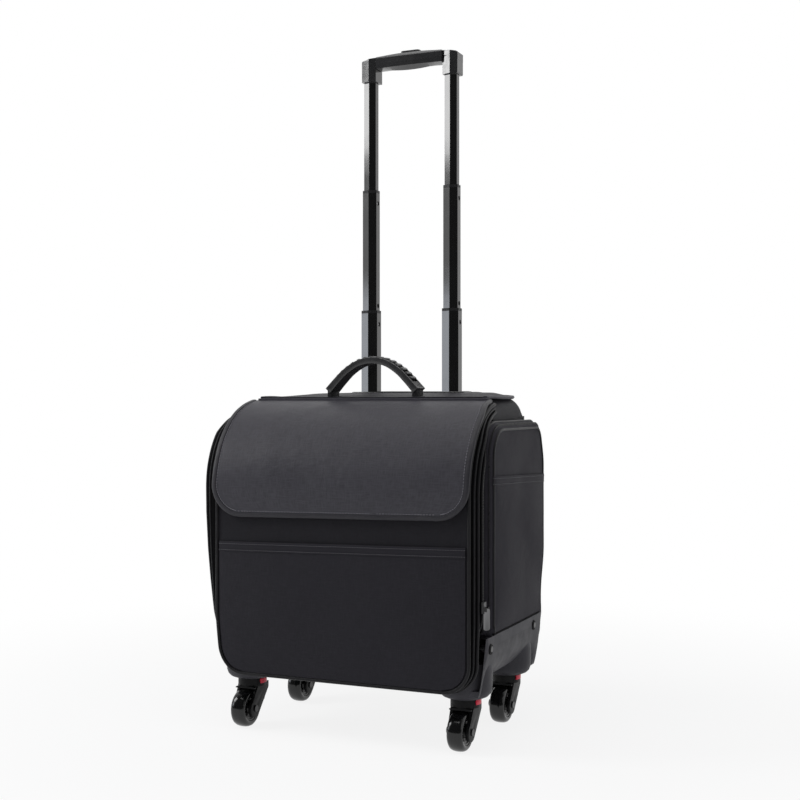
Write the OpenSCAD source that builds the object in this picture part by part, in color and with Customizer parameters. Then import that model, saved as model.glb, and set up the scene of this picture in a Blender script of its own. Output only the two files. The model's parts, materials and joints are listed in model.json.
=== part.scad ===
// Rolling makeup case with a pull handle, a front flap and four swivel casters.
// The frame is in millimetres: X to the right, -Y to the front, Z up, floor at zero.

/* [Case] */
// Width of the soft case over the side panels
case_w = 352; // [300:1:420]
// Depth from the outside of the flap to the back
case_d = 268; // [250:1:320]
// Height of the case above the floor at the flap seam
case_top = 440; // [420:1:480]
// Height of the soft bottom above the floor
case_base = 79; // [77:1:84]
// Thickness of the padded walls
wall = 6; // [4:0.5:8]
// Radius of the two long bottom corners
corner_r = 35; // [28:1:44]
// Radius of the two long top corners
top_r = 28; // [20:1:32]
// Radius of the two upright back corners
back_r = 18; // [6:1:18]
// Rise of the top panel from the seam to the back
top_rise = 8; // [4:1:12]
// Thickness of the bound lid sewn on the top panel
lid_t = 3; // [2:0.5:4]
// How far the lid edge stands in from the side of the case
lid_in = 10; // [6:1:16]

/* [Flap and door] */
// Radius of the shoulder on the outside of the flap
shoulder_r = 120; // [105:1:130]
// Distance from the front of the flap back to its seam
seam_back = 100; // [85:1:104]
// Drop of the flap lip below the seam
flap_drop = 153; // [140:1:180]
// Thickness of the flap
flap_t = 3.6; // [2.6:0.2:5]
// Radius of the lower corners of the flap
flap_corner = 42; // [20:1:60]
// How far the flap stands out past each side of the case
flap_over = 3; // [0:0.5:4]
// Thickness of the padded front door
door_t = 8; // [5:0.5:10]
// Height of the front slip pocket hem above the floor
hem_z = 252; // [200:1:270]
// Length of the hook strip in the flap
hook_len = 120; // [60:1:200]
// How far the zip gusset behind the door swells out from each side panel
gusset_out = 14; // [8:1:16]

/* [Side pouches] */
// How far a pouch stands out from the side panel
pouch_t = 24; // [14:1:30]
// Length of a pouch along the case
pouch_len = 212; // [160:1:216]
// Height of the pouch top above the floor
pouch_top = 413; // [380:1:420]
// Radius of the pouch top back corner
pouch_r = 30; // [15:1:50]
// Height of the slip pocket hem on the pouch
pouch_hem = 338; // [250:1:370]

/* [Base runners] */
// How far a runner stands out from the side panel
runner_out = 18; // [12:1:22]
// Length of a runner along the case
runner_len = 226; // [220:1:240]
// Height of the runner top edge above the floor
runner_top = 145; // [140:1:155]
// Skin thickness of the runner moulding
runner_skin = 3; // [2:0.5:4]
// Radius of the large outer corner under a runner
runner_r = 62; // [44:1:62]

/* [Casters] */
// Distance of the swivel axes from the middle of the case, across
caster_x = 155; // [150:1:158]
// Distance of the swivel axes from the middle of the case, along
caster_y = 79; // [72:1:88]
// Wheel diameter
wheel_d = 50; // [44:1:52]
// Tread width
wheel_w = 20; // [14:1:21]
// Trail of the axle ahead of the swivel axis
trail = 18; // [12:1:20]
// Diameter of the fork neck
neck_d = 38; // [36:1:42]
// Kingpin diameter
pin_d = 10; // [7:0.5:12]
// Axle diameter
axle_d = 6; // [4:0.5:7]

/* [Pull handle] */
// Distance between the two tube axes
tube_pitch = 127; // [100:1:150]
// Half width of the stage 1 tube
tube_half = 12.6; // [11.8:0.1:13.6]
// Half length of the flat side of the stage 1 tube
tube_side = 7; // [6.4:0.1:8]
// Slope of the two ridged faces of a tube
tube_slope = 20; // [12:1:22]
// Tube wall
tube_wall = 1; // [0.8:0.1:1.1]
// Running gap between one tube and the next
tube_gap = 0.6; // [0.5:0.1:0.7]
// Height of the stage 1 tops above the floor, drawn out
stage1_top = 571; // [565:1:590]
// Height of the stage 2 tops above the floor, drawn out
stage2_top = 747; // [745:1:765]
// Height of the lower end of the grip above the floor, drawn out
grip_z = 905; // [902:1:930]
// Width of the grip over its brackets
grip_w = 158; // [156:1:180]
// Depth of the grip, front to back
grip_d = 26; // [23:1:32]
// Length of the release button
button_len = 30; // [20:1:40]

/* [Carry handle] */
// Distance of the carry handle in front of the middle of the case
carry_y = 13; // [10:1:16]
// Height of the grip above the seam
carry_h = 59; // [52:1:66]
// Outer radius of the grip arch
carry_r = 78; // [60:1:82]
// Thickness of the grip
carry_t = 10; // [9:0.5:14]
// Width of the grip, front to back
carry_w = 28; // [20:1:30]
// Half angle of the grip arch
carry_half = 58; // [50:1:62]
// Number of slots across the grip
carry_slots = 15; // [5:2:17]

/* [Zip] */
// Height of the slider above the floor
zip_z = 185; // [170:1:240]
// Length of the pull tab
pull_len = 26; // [18:1:34]

/* [Hidden] */
$fn = 64;
half_d = case_d / 2;
half_w = case_w / 2;
clear = 0.4;
door_y = -half_d + flap_t + clear;
sh_y = -half_d + shoulder_r;
sh_z = case_top - shoulder_r;
door_r = shoulder_r - flap_t - clear;
door_in = door_r - door_t;
side_r = door_in - 0.3;
side_front = sh_y - side_r;
seam_y = -half_d + seam_back;
lip_z = case_top - flap_drop;
back_in = half_d - wall;
tilt = atan(top_rise / (half_d - seam_y));
split_z = case_base + corner_r;
tray_in_r = corner_r - wall;
board_z = case_base + wall;
lining_y = half_d - 43;
tube_y = half_d - 25;
tube_x = tube_pitch / 2;
step = tube_wall + tube_gap;
bezel_top = case_top + top_rise + 4;
bezel_low = case_top - 4;
foot_z = board_z + 6;
plug_h = 22;
collar_h = 4;
stage1_low = bezel_top - 109;
stage2_low = stage1_top - 31;
stage3_low = stage2_top - 30;
grip_mid = grip_z + 26;
grip_top = grip_z + 38;
runner_y = 5;
runner_low = case_base - 8;
runner_x = half_w + runner_out;
neck_top = runner_low - 1.4;
neck_low = wheel_d + 3;
pouch_x = half_w + pouch_t;
zip_w = 9;
zip_r = side_r - 1 - zip_w / 2;
zip_y = sh_y - zip_r;
pouch_y0 = zip_y + zip_w / 2 + 13;
pouch_y1 = min(pouch_y0 + pouch_len, half_d - back_r - 2);
carry_c = case_top + carry_h - carry_r;

zip_x = half_w + gusset_out;
// Places of the runner screws as (Y, Z) and of the foot screws as (X, Y).
runner_screws = [[-93, 130], [82, 132]];
foot_screws = [[-30, tube_y], [30, tube_y]];

// A flat shape in (Y, Z) drawn out along X, centred on the middle of the case.
module along_x(len) {
    translate([-len / 2, 0, 0])
        rotate([90, 0, 90])
            linear_extrude(len)
                children();
}

// A flat shape in (X, Z) drawn out along Y from y0 to y1.
module along_y(y0, y1) {
    translate([0, y1, 0])
        rotate([90, 0, 0])
            linear_extrude(y1 - y0)
                children();
}

// Rectangle with a lower and an upper corner radius.
module tall_rect(x0, x1, z0, z1, rl, ru) {
    difference() {
        translate([x0, z0])
            square([x1 - x0, z1 - z0]);
        for (s = [0, 1])
            translate([s == 0 ? x0 : x1, z0])
                mirror([s, 0])
                    corner_cut(rl);
        for (s = [0, 1])
            translate([s == 0 ? x0 : x1, z1])
                mirror([s, 0])
                    mirror([0, 1])
                        corner_cut(ru);
    }
}

// What a rounded corner takes away from a square one at the origin.
module corner_cut(r) {
    difference() {
        translate([-1, -1])
            square([r + 1, r + 1]);
        translate([r, r])
            circle(r);
        translate([r, -2])
            square([r, r + 2]);
        translate([-2, r])
            square([r + 2, r]);
    }
}

// Front and shoulder strip in (Y, Z) between two radii, from z0 up to the seam.
module shoulder_strip(r_out, r_in, z0) {
    translate([sh_y - r_out, z0])
        square([r_out - r_in, sh_z - z0]);
    intersection() {
        translate([sh_y, sh_z])
            difference() {
                circle(r_out, $fn = 128);
                circle(r_in, $fn = 128);
            }
        translate([sh_y - r_out - 1, sh_z])
            square([seam_y - sh_y + r_out + 1, r_out + 1]);
    }
}

// Outline of the whole case seen from the front.
module case_outline(inset) {
    tall_rect(-half_w + inset, half_w - inset, case_base + inset, case_top + top_rise - inset,
        corner_r - inset, top_r - inset);
}

// Upright block that rounds the two back corners of the shell.
module shell_plan() {
    linear_extrude(case_top + 60)
        tall_rect(-half_w, half_w, -half_d, half_d, 1, back_r);
}

module back_panel() {
    color("#2b2c30")
        intersection() {
            along_y(back_in, half_d)
                case_outline(0);
            shell_plan();
        }
}

// Height of the top edge of a side panel at a given Y.
function side_top(y) = case_top - top_r + (y - seam_y) * tan(tilt) - 0.4;

module side_outline() {
    polygon([[side_front, split_z], [back_in, split_z], [back_in, side_top(back_in)],
        [seam_y + 1.5, side_top(seam_y)], [seam_y + 1.5, sh_z], [side_front, sh_z]]);
    intersection() {
        translate([sh_y, sh_z])
            circle(side_r, $fn = 128);
        translate([side_front - 1, sh_z])
            square([seam_y - 0.4 - side_front + 1, side_r + 1]);
    }
}

// Side view of the strip of the gusset between the door and the pouch.
module gusset_strip() {
    difference() {
        shoulder_strip(side_r, side_r - 30, runner_top + 2);
        translate([pouch_y0 - 0.4, 0])
            square([case_d, case_top + 60]);
        translate([sh_y, sh_z])
            circle(zip_r - zip_w / 2 - 0.6);
    }
    translate([side_front, runner_top + 2])
        square([pouch_y0 - 0.4 - side_front, sh_z - runner_top - 2]);
}

// Front edge of the gusset, rounded over and carried round the shoulder.
module gusset_round(s) {
    r = gusset_out - 3;
    translate([0, sh_y, sh_z])
        rotate([0, s * 90, 0])
            rotate_extrude($fn = 128)
                difference() {
                    translate([0, half_w - 1])
                        square([side_r, gusset_out + 1]);
                    translate([side_r, zip_x])
                        mirror([1, 0])
                            mirror([0, 1])
                                corner_cut(r);
                }
    translate([0, 0, runner_top])
        linear_extrude(sh_z - runner_top)
            tall_rect(-zip_x, zip_x, side_front, half_d, r, 1);
}

// Soft swell that carries the zip, fading out towards the runner and the shoulder.
module gusset(s) {
    intersection() {
        translate([s * (half_w + gusset_out / 2 - 0.25), 0, 0])
            along_x(gusset_out + 0.5)
                gusset_strip();
        along_y(-half_d, half_d)
            tall_rect(-zip_x, zip_x, runner_top - 27, case_top + 6, 60, 90);
        gusset_round(s);
    }
}

module side_panel(s) {
    color("#2b2c30")
        difference() {
            union() {
                intersection() {
                    translate([s * (half_w - wall / 2), 0, 0])
                        along_x(wall)
                            side_outline();
                    shell_plan();
                }
                gusset(s);
            }
            for (p = runner_screws)
                translate([s * half_w, p[0], p[1]])
                    rotate([0, 90, 0])
                        cylinder(d = 4.2, h = 40, center = true);
        }
}

module side_panel_left() {
    side_panel(-1);
}

module side_panel_right() {
    side_panel(1);
}

module bottom_tray() {
    color("#232427")
        intersection() {
            along_y(side_front, back_in)
                difference() {
                    intersection() {
                        case_outline(0);
                        translate([-half_w, 0])
                            square([case_w, split_z]);
                    }
                    case_outline(wall);
                }
            shell_plan();
        }
}

module base_board() {
    color("#5a5148")
        difference() {
            translate([-half_w + corner_r, side_front + 4, board_z])
                cube([case_w - 2 * corner_r, back_in - side_front - 8, 6]);
            for (p = foot_screws)
                translate([p[0], p[1], board_z - 1])
                    cylinder(d = 4.2, h = 8);
        }
}

// Section of the top panel: edges turned down, and a bound lid that stands out over them.
module top_section() {
    difference() {
        tall_rect(-half_w, half_w, -60, 0, 1, top_r);
        tall_rect(-half_w + wall, half_w - wall, -62, -wall, 1, top_r - wall);
        translate([-half_w - 1, -61])
            square([case_w + 2, 61 - top_r]);
    }
    tall_rect(-half_w + lid_in, half_w - lid_in, -0.5, lid_t, 1, lid_t - 0.5);
}

// Top panel tilted up to the back from the seam.
module top_panel() {
    color("#303136")
        difference() {
            intersection() {
                translate([0, seam_y + 0.3, case_top])
                    rotate([tilt, 0, 0])
                        along_y(0, case_d)
                            top_section();
                translate([-half_w - 1, seam_y, 0])
                    cube([case_w + 2, back_in - seam_y - 0.2, case_top + 50]);
                shell_plan();
            }
            translate([-tube_x - 24.3, lining_y + 1.7, case_top - 20])
                cube([2 * tube_x + 48.6, back_in - lining_y, 60]);
            for (s = [-1, 1])
                translate([s * carry_end_x - 1.8, -carry_y - carry_w / 2 + 1, case_top - 20])
                    cube([3.6, carry_w - 2, 40]);
        }
}

// Runner section outline with the large outer corner.
module runner_section(inset) {
    r = min(runner_r, 44 + runner_out) - inset;
    difference() {
        translate([half_w - 48 + inset, runner_low + inset])
            square([48 + runner_out - 2 * inset, runner_top - runner_low - 2 * inset]);
        translate([runner_x - inset, runner_low + inset])
            mirror([1, 0])
                corner_cut(r);
    }
}

// The case with a thin gap round it, seen from the front.
module case_keepout() {
    tall_rect(-half_w - 0.3, half_w + 0.3, case_base - 0.3, case_top, corner_r + 0.3, 1);
}

module runner_right_solid() {
    y0 = runner_y - runner_len / 2;
    y1 = runner_y + runner_len / 2;
    difference() {
        union() {
            intersection() {
                union() {
                    along_y(y0, y1)
                        difference() {
                            runner_section(0);
                            runner_section(runner_skin);
                        }
                    for (y = [y0, y1 - runner_skin])
                        along_y(y, y + runner_skin)
                            runner_section(0);
                }
                linear_extrude(runner_top + 20)
                    tall_rect(-runner_x, runner_x, y0, y1, 8, 8);
            }
            for (s = [-1, 1])
                translate([caster_x, s * caster_y, runner_low - 1]) {
                    cylinder(d = neck_d + 2, h = 30);
                    translate([0, 0, 1])
                        cylinder(d1 = neck_d + 2, d2 = neck_d + 16, h = 26);
                }
            for (p = runner_screws)
                translate([half_w, p[0], p[1]])
                    rotate([0, 90, 0])
                        cylinder(d = 9, h = runner_out - 1.5);
        }
        along_y(y0 - 1, y1 + 1)
            case_keepout();
        for (s = [-1, 1])
            translate([caster_x, s * caster_y, runner_low - 5])
                cylinder(d = pin_d + 0.1, h = 40);
        for (p = runner_screws)
            translate([half_w, p[0], p[1]])
                rotate([0, 90, 0])
                    cylinder(d = 4.2, h = 80, center = true);
    }
}

module base_runner_left() {
    color("#4b4c50")
        mirror([1, 0, 0])
            runner_right_solid();
}

module base_runner_right() {
    color("#4b4c50")
        runner_right_solid();
}

// Round headed screw along +Z, head underside at the origin.
module screw(len) {
    translate([0, 0, -len])
        cylinder(d = 4, h = len + 0.5);
    cylinder(d = 7.6, h = 1.8);
}

module base_screws() {
    color("#8b8d92") {
        for (s = [-1, 1])
            for (p = runner_screws)
                translate([s * runner_x, p[0], p[1]])
                    rotate([0, s * 90, 0])
                        screw(runner_out + wall - 1);
        for (p = foot_screws)
            translate([p[0], p[1], foot_z + 8])
                screw(13);
    }
}

// Side view of a pouch: its top front corner follows the shoulder.
module pouch_outline() {
    r = zip_r - zip_w / 2 - 1;
    difference() {
        translate([pouch_y0, runner_top + 0.4])
            square([pouch_y1 - pouch_y0, pouch_top - runner_top - 0.4]);
        translate([pouch_y1, pouch_top])
            mirror([1, 0])
                mirror([0, 1])
                    corner_cut(pouch_r);
        difference() {
            translate([pouch_y0 - 1, sh_z])
                square([sh_y - pouch_y0 + 1, pouch_top - sh_z + 1]);
            translate([sh_y, sh_z])
                circle(r);
        }
    }
}

// A closed zipped pouch that swells out from the right side panel.
module pouch_solid() {
    t = pouch_t - 1.6;
    hull()
        for (layer = [[0.25, 0], [0.5, 0], [0.8, 2.5], [0.94, 7], [1, 12]])
            translate([half_w + layer[0] * t - (layer[0] < 0.3 ? 0.25 * t - 0.25 : 0.05), 0, 0])
                along_x(0.1)
                    offset(delta = -layer[1])
                        pouch_outline();
}

module side_pouch_left() {
    color("#35343a")
        mirror([1, 0, 0])
            pouch_solid();
}

module side_pouch_right() {
    color("#35343a")
        pouch_solid();
}

module pouch_slips() {
    color("#2c2c31")
        for (m = [0, 1])
            mirror([m, 0, 0])
                translate([pouch_x - 0.75, 0, 0])
                    along_x(1.5)
                        tall_rect(pouch_y0 + 13, pouch_y1 - 13, runner_top + 14, pouch_hem, 8, 1);
}

module zip_chain() {
    color("#1d1e20")
        for (s = [-1, 1])
            translate([s * (zip_x + 1), 0, 0])
                along_x(1.6) {
                    translate([zip_y - zip_w / 2, runner_top + 33])
                        square([zip_w, sh_z - runner_top - 33]);
                    intersection() {
                        translate([sh_y, sh_z])
                            difference() {
                                circle(zip_r + zip_w / 2);
                                circle(zip_r - zip_w / 2);
                            }
                        translate([-half_d, sh_z])
                            square([seam_back - 6, case_top - 84 - sh_z]);
                    }
                }
}

// Six sided tube section, grown by g from the outside of stage 1.
module hex_section(g) {
    a = tube_half + g;
    h = tube_side + g * (1 / cos(tube_slope) - tan(tube_slope));
    p = h + a * tan(tube_slope);
    polygon([[a, h], [0, p], [-a, h], [-a, -h], [0, -p], [a, -h]]);
}

module tube_pair() {
    for (s = [-1, 1])
        translate([s * tube_x, tube_y, 0])
            children();
}

// One tube wall from z0 to z1, with lock holes in its right side.
module hex_tube(g, z0, z1, holes) {
    difference() {
        translate([0, 0, z0])
            linear_extrude(z1 - z0)
                difference() {
                    hex_section(g);
                    hex_section(g - tube_wall);
                }
        for (z = holes)
            translate([0, 0, z])
                rotate([0, 90, 0])
                    cylinder(d = 6.6, h = 40);
    }
}

module outer_tubes() {
    color("#1b1c1e")
        tube_pair()
            hex_tube(step, foot_z + 6, bezel_low, [stage1_low + 11, stage1_low + 11 - 108]);
}

module tube_bezel() {
    color("#202124")
        difference() {
            translate([-tube_x - 24, lining_y + 2, bezel_low])
                cube([2 * tube_x + 48, back_in - lining_y - 2.3, bezel_top - bezel_low]);
            tube_pair()
                translate([0, 0, bezel_low - 1])
                    linear_extrude(bezel_top - bezel_low + 2)
                        hex_section(0.3);
        }
}

module tube_foot() {
    color("#202124")
        difference() {
            union() {
                tube_pair()
                    translate([-20, -17.5, foot_z])
                        cube([40, 35, 34]);
                translate([-tube_x, tube_y - 12, foot_z])
                    cube([2 * tube_x, 24, 8]);
            }
            tube_pair()
                translate([0, 0, foot_z + 6])
                    linear_extrude(40)
                        hex_section(step + 0.15);
            for (p = foot_screws)
                translate([p[0], p[1], foot_z - 1])
                    cylinder(d = 4.2, h = 20);
        }
}

module back_lining() {
    color("#26272b")
        along_y(lining_y - 2.5, lining_y)
            intersection() {
                case_outline(wall + 0.3);
                translate([-half_w, foot_z])
                    square([case_w, case_top - top_r - 1 - foot_z]);
            }
}

module caster_pins() {
    color("#a5a7ab")
        for (x = [-caster_x, caster_x])
            for (y = [-caster_y, caster_y])
                translate([x, y, 0]) {
                    translate([0, 0, neck_low + 1])
                        cylinder(d = pin_d, h = runner_low + 6 - neck_low);
                    translate([0, 0, neck_low + 0.6])
                        cylinder(d = pin_d + 3, h = 2.6);
                }
}

module flap() {
    color("#3b3c42")
        difference() {
            intersection() {
                along_x(case_w + 2 * flap_over)
                    shoulder_strip(shoulder_r, shoulder_r - flap_t, lip_z);
                along_y(-half_d - 1, seam_y + 1)
                    tall_rect(-half_w - flap_over, half_w + flap_over, lip_z, case_top + 20, flap_corner, 1);
            }
            translate([-hook_len / 2 - 0.1, -half_d + flap_t - 1.1, lip_z + 7.9])
                cube([hook_len + 0.2, 3, 18.2]);
        }
}

module flap_hook_strip() {
    color("#17181a")
        translate([-hook_len / 2, -half_d + flap_t - 1.1, lip_z + 8])
            cube([hook_len, 1.1, 18]);
}

module front_door() {
    color("#2a2b2f")
        intersection() {
            along_x(case_w)
                shoulder_strip(door_r, door_in, case_base);
            along_y(-half_d - 1, seam_y + 1)
                tall_rect(-half_w, half_w, case_base, case_top + 20, corner_r, 1);
        }
}

module front_slip() {
    color("#26272a")
        along_y(door_y - 1.5, door_y)
            tall_rect(-half_w + 6, half_w - 6, case_base + 5, hem_z, corner_r - 5, 1);
}

// Lower end of the carry grip on the right side, on the middle of its thickness.
carry_end_x = (carry_r - carry_t / 2) * sin(carry_half);
carry_end_z = carry_c + (carry_r - carry_t / 2) * cos(carry_half);

// Moulded grip: an arched band with a flange at each end and a row of slots.
module carry_grip() {
    span = 2 * carry_half - 16;
    color("#1f2022")
        difference() {
            translate([0, -carry_y, carry_c]) {
                rotate([90, 0, 0])
                    rotate([0, 0, 90 - carry_half])
                        rotate_extrude(angle = 2 * carry_half, $fn = 96)
                            tall_rect(carry_r - carry_t, carry_r, -carry_w / 2, carry_w / 2, 4, 4);
                for (s = [-1, 1])
                    rotate([0, s * carry_half, 0])
                        translate([-2, -carry_w / 2 - 1, carry_r - carry_t - 3.5])
                            cube([4, carry_w + 2, carry_t + 7]);
            }
            for (i = [0:carry_slots - 1])
                translate([0, -carry_y, carry_c])
                    rotate([0, -span / 2 + i * span / (carry_slots - 1), 0])
                        translate([-2.1, -carry_w / 2 + 6, carry_r - 3])
                            cube([4.2, carry_w - 12, 6]);
            for (s = [-1, 1])
                translate([s * carry_end_x - 1.8, -carry_y - carry_w / 2 + 1, carry_end_z - 16])
                    cube([3.6, carry_w - 2, 20]);
        }
}

// Webbing tabs: they leave the grip, pass through slits in the top panel and turn under it.
module carry_webbing() {
    w = carry_w - 2.8;
    color("#19191b")
        for (s = [-1, 1]) {
            translate([s * carry_end_x - 1.5, -carry_y - w / 2, case_top - wall - 2.6])
                cube([3, w, carry_end_z - case_top + wall + 6.2]);
            translate([s * carry_end_x - (s > 0 ? 16 : 0), -carry_y - w / 2, case_top - wall - 2.6])
                cube([16, w, 2]);
        }
}

// A ring on top of a tube that closes the gap to the next stage.
module collar(g, z) {
    translate([0, 0, z - collar_h])
        linear_extrude(collar_h)
            difference() {
                hex_section(g);
                hex_section(g - step + 0.25);
            }
}

// Plug in the lower end of a tube, with a cross bore for its lock bolt.
module plug(g, z, rod) {
    difference() {
        translate([0, 0, z])
            linear_extrude(plug_h)
                hex_section(g - tube_wall - 0.05);
        translate([-5.5, 0, z + 11])
            rotate([0, 90, 0])
                cylinder(d = 5.1, h = 40);
        if (rod)
            translate([0, 0, z + 14.5])
                cylinder(d = 5.6, h = 20);
    }
}

// Lock bolt that lies in a plug with its nose just short of the next tube.
module bolt(g, z) {
    translate([-2.5, 0, z + 11])
        rotate([0, 90, 0])
            cylinder(d = 5, h = tube_half + g + 0.2 + 2.5);
}

module stage1_tubes() {
    color("#1b1c1e")
        tube_pair()
            hex_tube(0, stage1_low, stage1_top - collar_h,
                [stage1_low + 11, stage2_low + 11, stage2_low + 11 - 170]);
}

module stage1_guides() {
    color("#2a2b2d")
        tube_pair() {
            collar(0, stage1_top);
            plug(0, stage1_low, false);
        }
}

module stage1_bolts() {
    color("#9a9ca0")
        tube_pair()
            bolt(0, stage1_low);
}

module stage2_tubes() {
    color("#1b1c1e")
        tube_pair()
            hex_tube(-step, stage2_low, stage2_top - collar_h,
                [stage2_low + 11, stage3_low + 11, stage3_low + 11 - 150]);
}

module stage2_guides() {
    color("#2a2b2d")
        tube_pair() {
            collar(-step, stage2_top);
            plug(-step, stage2_low, false);
        }
}

module stage2_bolts() {
    color("#9a9ca0")
        tube_pair()
            bolt(-step, stage2_low);
}

module stage3_tubes() {
    color("#1b1c1e")
        tube_pair()
            hex_tube(-2 * step, stage3_low, grip_z + 15, [stage3_low + 11]);
}

module stage3_plugs() {
    color("#2a2b2d")
        tube_pair()
            plug(-2 * step, stage3_low, true);
}

module stage3_bolts() {
    color("#9a9ca0")
        tube_pair()
            bolt(-2 * step, stage3_low);
}

// Outline of the grip seen from the front: two brackets and an arched bar.
module grip_outline() {
    rise = 8;
    r = (pow(grip_w / 2, 2) + rise * rise) / (2 * rise);
    sag = 8;
    inner = tube_x - 14;
    belly = (inner * inner + sag * sag) / (2 * sag);
    intersection() {
        union() {
            translate([-grip_w / 2, grip_z + 19.4])
                square([grip_w, 30]);
            intersection() {
                translate([0, grip_z + 19.4 - sag + belly])
                    circle(belly, $fn = 360);
                translate([-inner, grip_z + 19.4 - sag])
                    square([2 * inner, sag + 2]);
            }
            for (s = [-1, 1])
                translate([s * (tube_x + 0.5) - 14.5, grip_z])
                    square([29, 30]);
        }
        translate([0, grip_top - r])
            circle(r, $fn = 360);
        tall_rect(-grip_w / 2, grip_w / 2, grip_z, grip_top + 1, 4, 7);
    }
}

// The whole grip body before it is parted into two shells.
module grip_body() {
    intersection() {
        along_y(tube_y - grip_d / 2, tube_y + grip_d / 2)
            grip_outline();
        along_x(grip_w + 2)
            tall_rect(tube_y - grip_d / 2, tube_y + grip_d / 2, grip_z - 1, grip_top + 1, 1, 8);
    }
}

// Room inside the grip for the yoke and the button base.
module grip_room() {
    translate([-tube_x - 6, tube_y - 5, grip_z + 21])
        cube([2 * tube_x + 12, 10, 11]);
    translate([-button_len / 2 - 4, tube_y - 8, grip_z + 21])
        cube([button_len + 8, 16, 14]);
}

module grip_lower() {
    color("#1e1f21")
        difference() {
            intersection() {
                grip_body();
                translate([-grip_w, tube_y - grip_d, grip_z - 1])
                    cube([2 * grip_w, 2 * grip_d, grip_mid - grip_z + 1]);
            }
            grip_room();
            tube_pair() {
                translate([0, 0, grip_z - 2])
                    linear_extrude(17)
                        hex_section(-2 * step + 0.1);
                translate([0, 0, grip_z])
                    cylinder(d = 5.6, h = 40);
            }
        }
}

module grip_upper() {
    color("#242528")
        difference() {
            intersection() {
                grip_body();
                translate([-grip_w, tube_y - grip_d, grip_mid])
                    cube([2 * grip_w, 2 * grip_d, 40]);
            }
            grip_room();
            translate([0, tube_y, grip_mid - 1])
                linear_extrude(30)
                    button_outline(0.3);
        }
}

module button_outline(g) {
    tall_rect(-button_len / 2 - g, button_len / 2 + g, -6 - g, 6 + g, 5, 5);
}

module release_button() {
    color("#2c2d30") {
        translate([0, tube_y, grip_z + 30.5])
            linear_extrude(10.5)
                button_outline(0);
        translate([-button_len / 2 - 2.5, tube_y - 7, grip_z + 30.5])
            cube([button_len + 5, 14, 3.5]);
    }
}

module push_rods() {
    color("#c9cbd0") {
        translate([-tube_x - 4, tube_y - 3.5, grip_z + 27])
            cube([2 * tube_x + 8, 7, 3.5]);
        tube_pair()
            translate([0, 0, stage3_low + 19])
                cylinder(d = 5, h = grip_z + 27.5 - stage3_low - 19);
    }
}

// Bowed leaf spring between the grip floor and the yoke.
module button_spring() {
    rise = 5.6;
    half = 22;
    r = (half * half + rise * rise) / (2 * rise);
    color("#b9bbbf")
        along_y(tube_y - 3, tube_y + 3)
            intersection() {
                translate([0, grip_z + 21.2 + rise - r])
                    difference() {
                        circle(r, $fn = 180);
                        circle(r - 0.6, $fn = 180);
                    }
                translate([-half, grip_z + 21.2])
                    square([2 * half, rise + 1]);
            }
}

module zip_slider() {
    color("#6d6e72")
        translate([zip_x + 1.9, zip_y, zip_z]) {
            translate([0, -4.5, -7])
                cube([3, 9, 14]);
            for (s = [-1, 1])
                translate([2.5, s * 3.4 - 0.7, -4.5])
                    cube([4.2, 1.4, 5]);
            translate([4.8, 0, -2])
                rotate([90, 0, 0])
                    cylinder(d = 2, h = 7, center = true);
        }
}

module zip_pull() {
    color("#77787d")
        translate([zip_x + 6.7, zip_y, zip_z - 2])
            difference() {
                union() {
                    rotate([90, 0, 0])
                        cylinder(d = 3.4, h = 4.6, center = true);
                    translate([-0.4, -2.3, -pull_len + 3])
                        cube([1.6, 4.6, pull_len - 4.6]);
                    translate([-0.4, 0, -pull_len + 3])
                        rotate([0, 90, 0])
                            cylinder(d = 6.4, h = 1.6);
                }
                rotate([90, 0, 0])
                    cylinder(d = 2.1, h = 10, center = true);
            }
}

// One caster: four corners share these modules.
function corner_x(i) = i % 2 == 0 ? -caster_x : caster_x;
function corner_y(i) = i < 2 ? -caster_y : caster_y;

module at_corner(i) {
    translate([corner_x(i), corner_y(i), 0])
        children();
}

module arm_outline() {
    translate([-trail, wheel_d / 2])
        circle(12);
    polygon([[-trail - 11.6, wheel_d / 2 + 3], [-neck_d / 2 + 9, neck_low + 3], [neck_d / 2 - 2, neck_low + 3],
        [neck_d / 2 - 2, neck_low - 5], [-trail + 9.6, wheel_d / 2 - 7]]);
}

arm_in = wheel_w / 2 + 1.2;
arm_t = 4.5;

module fork(i) {
    color("#18191b")
        at_corner(i)
            difference() {
                union() {
                    translate([0, 0, neck_low])
                        cylinder(d = neck_d, h = neck_top - neck_low);
                    for (s = [-1, 1])
                        translate([s * (arm_in + arm_t / 2), 0, 0])
                            along_x(arm_t)
                                arm_outline();
                }
                translate([0, 0, neck_low - 1])
                    cylinder(d = pin_d + 0.1, h = 40);
                translate([0, 0, neck_low - 1])
                    cylinder(d = pin_d + 4, h = 4.5);
                translate([0, -trail, wheel_d / 2])
                    rotate([0, 90, 0])
                        cylinder(d = axle_d + 0.1, h = 60, center = true);
                translate([neck_d / 2 - 8.5, -4.4, neck_low + 4])
                    cube([20, 8.8, 6.8]);
            }
}

module axle(i) {
    color("#9c9ea2")
        at_corner(i)
            translate([0, -trail, wheel_d / 2]) {
                rotate([0, 90, 0])
                    cylinder(d = axle_d, h = 2 * (arm_in + arm_t) + 1, center = true);
                for (s = [-1, 1])
                    translate([s * (arm_in + arm_t + 0.9), 0, 0])
                        rotate([0, 90, 0])
                            cylinder(d = axle_d + 3, h = 1.6, center = true);
            }
}

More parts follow.
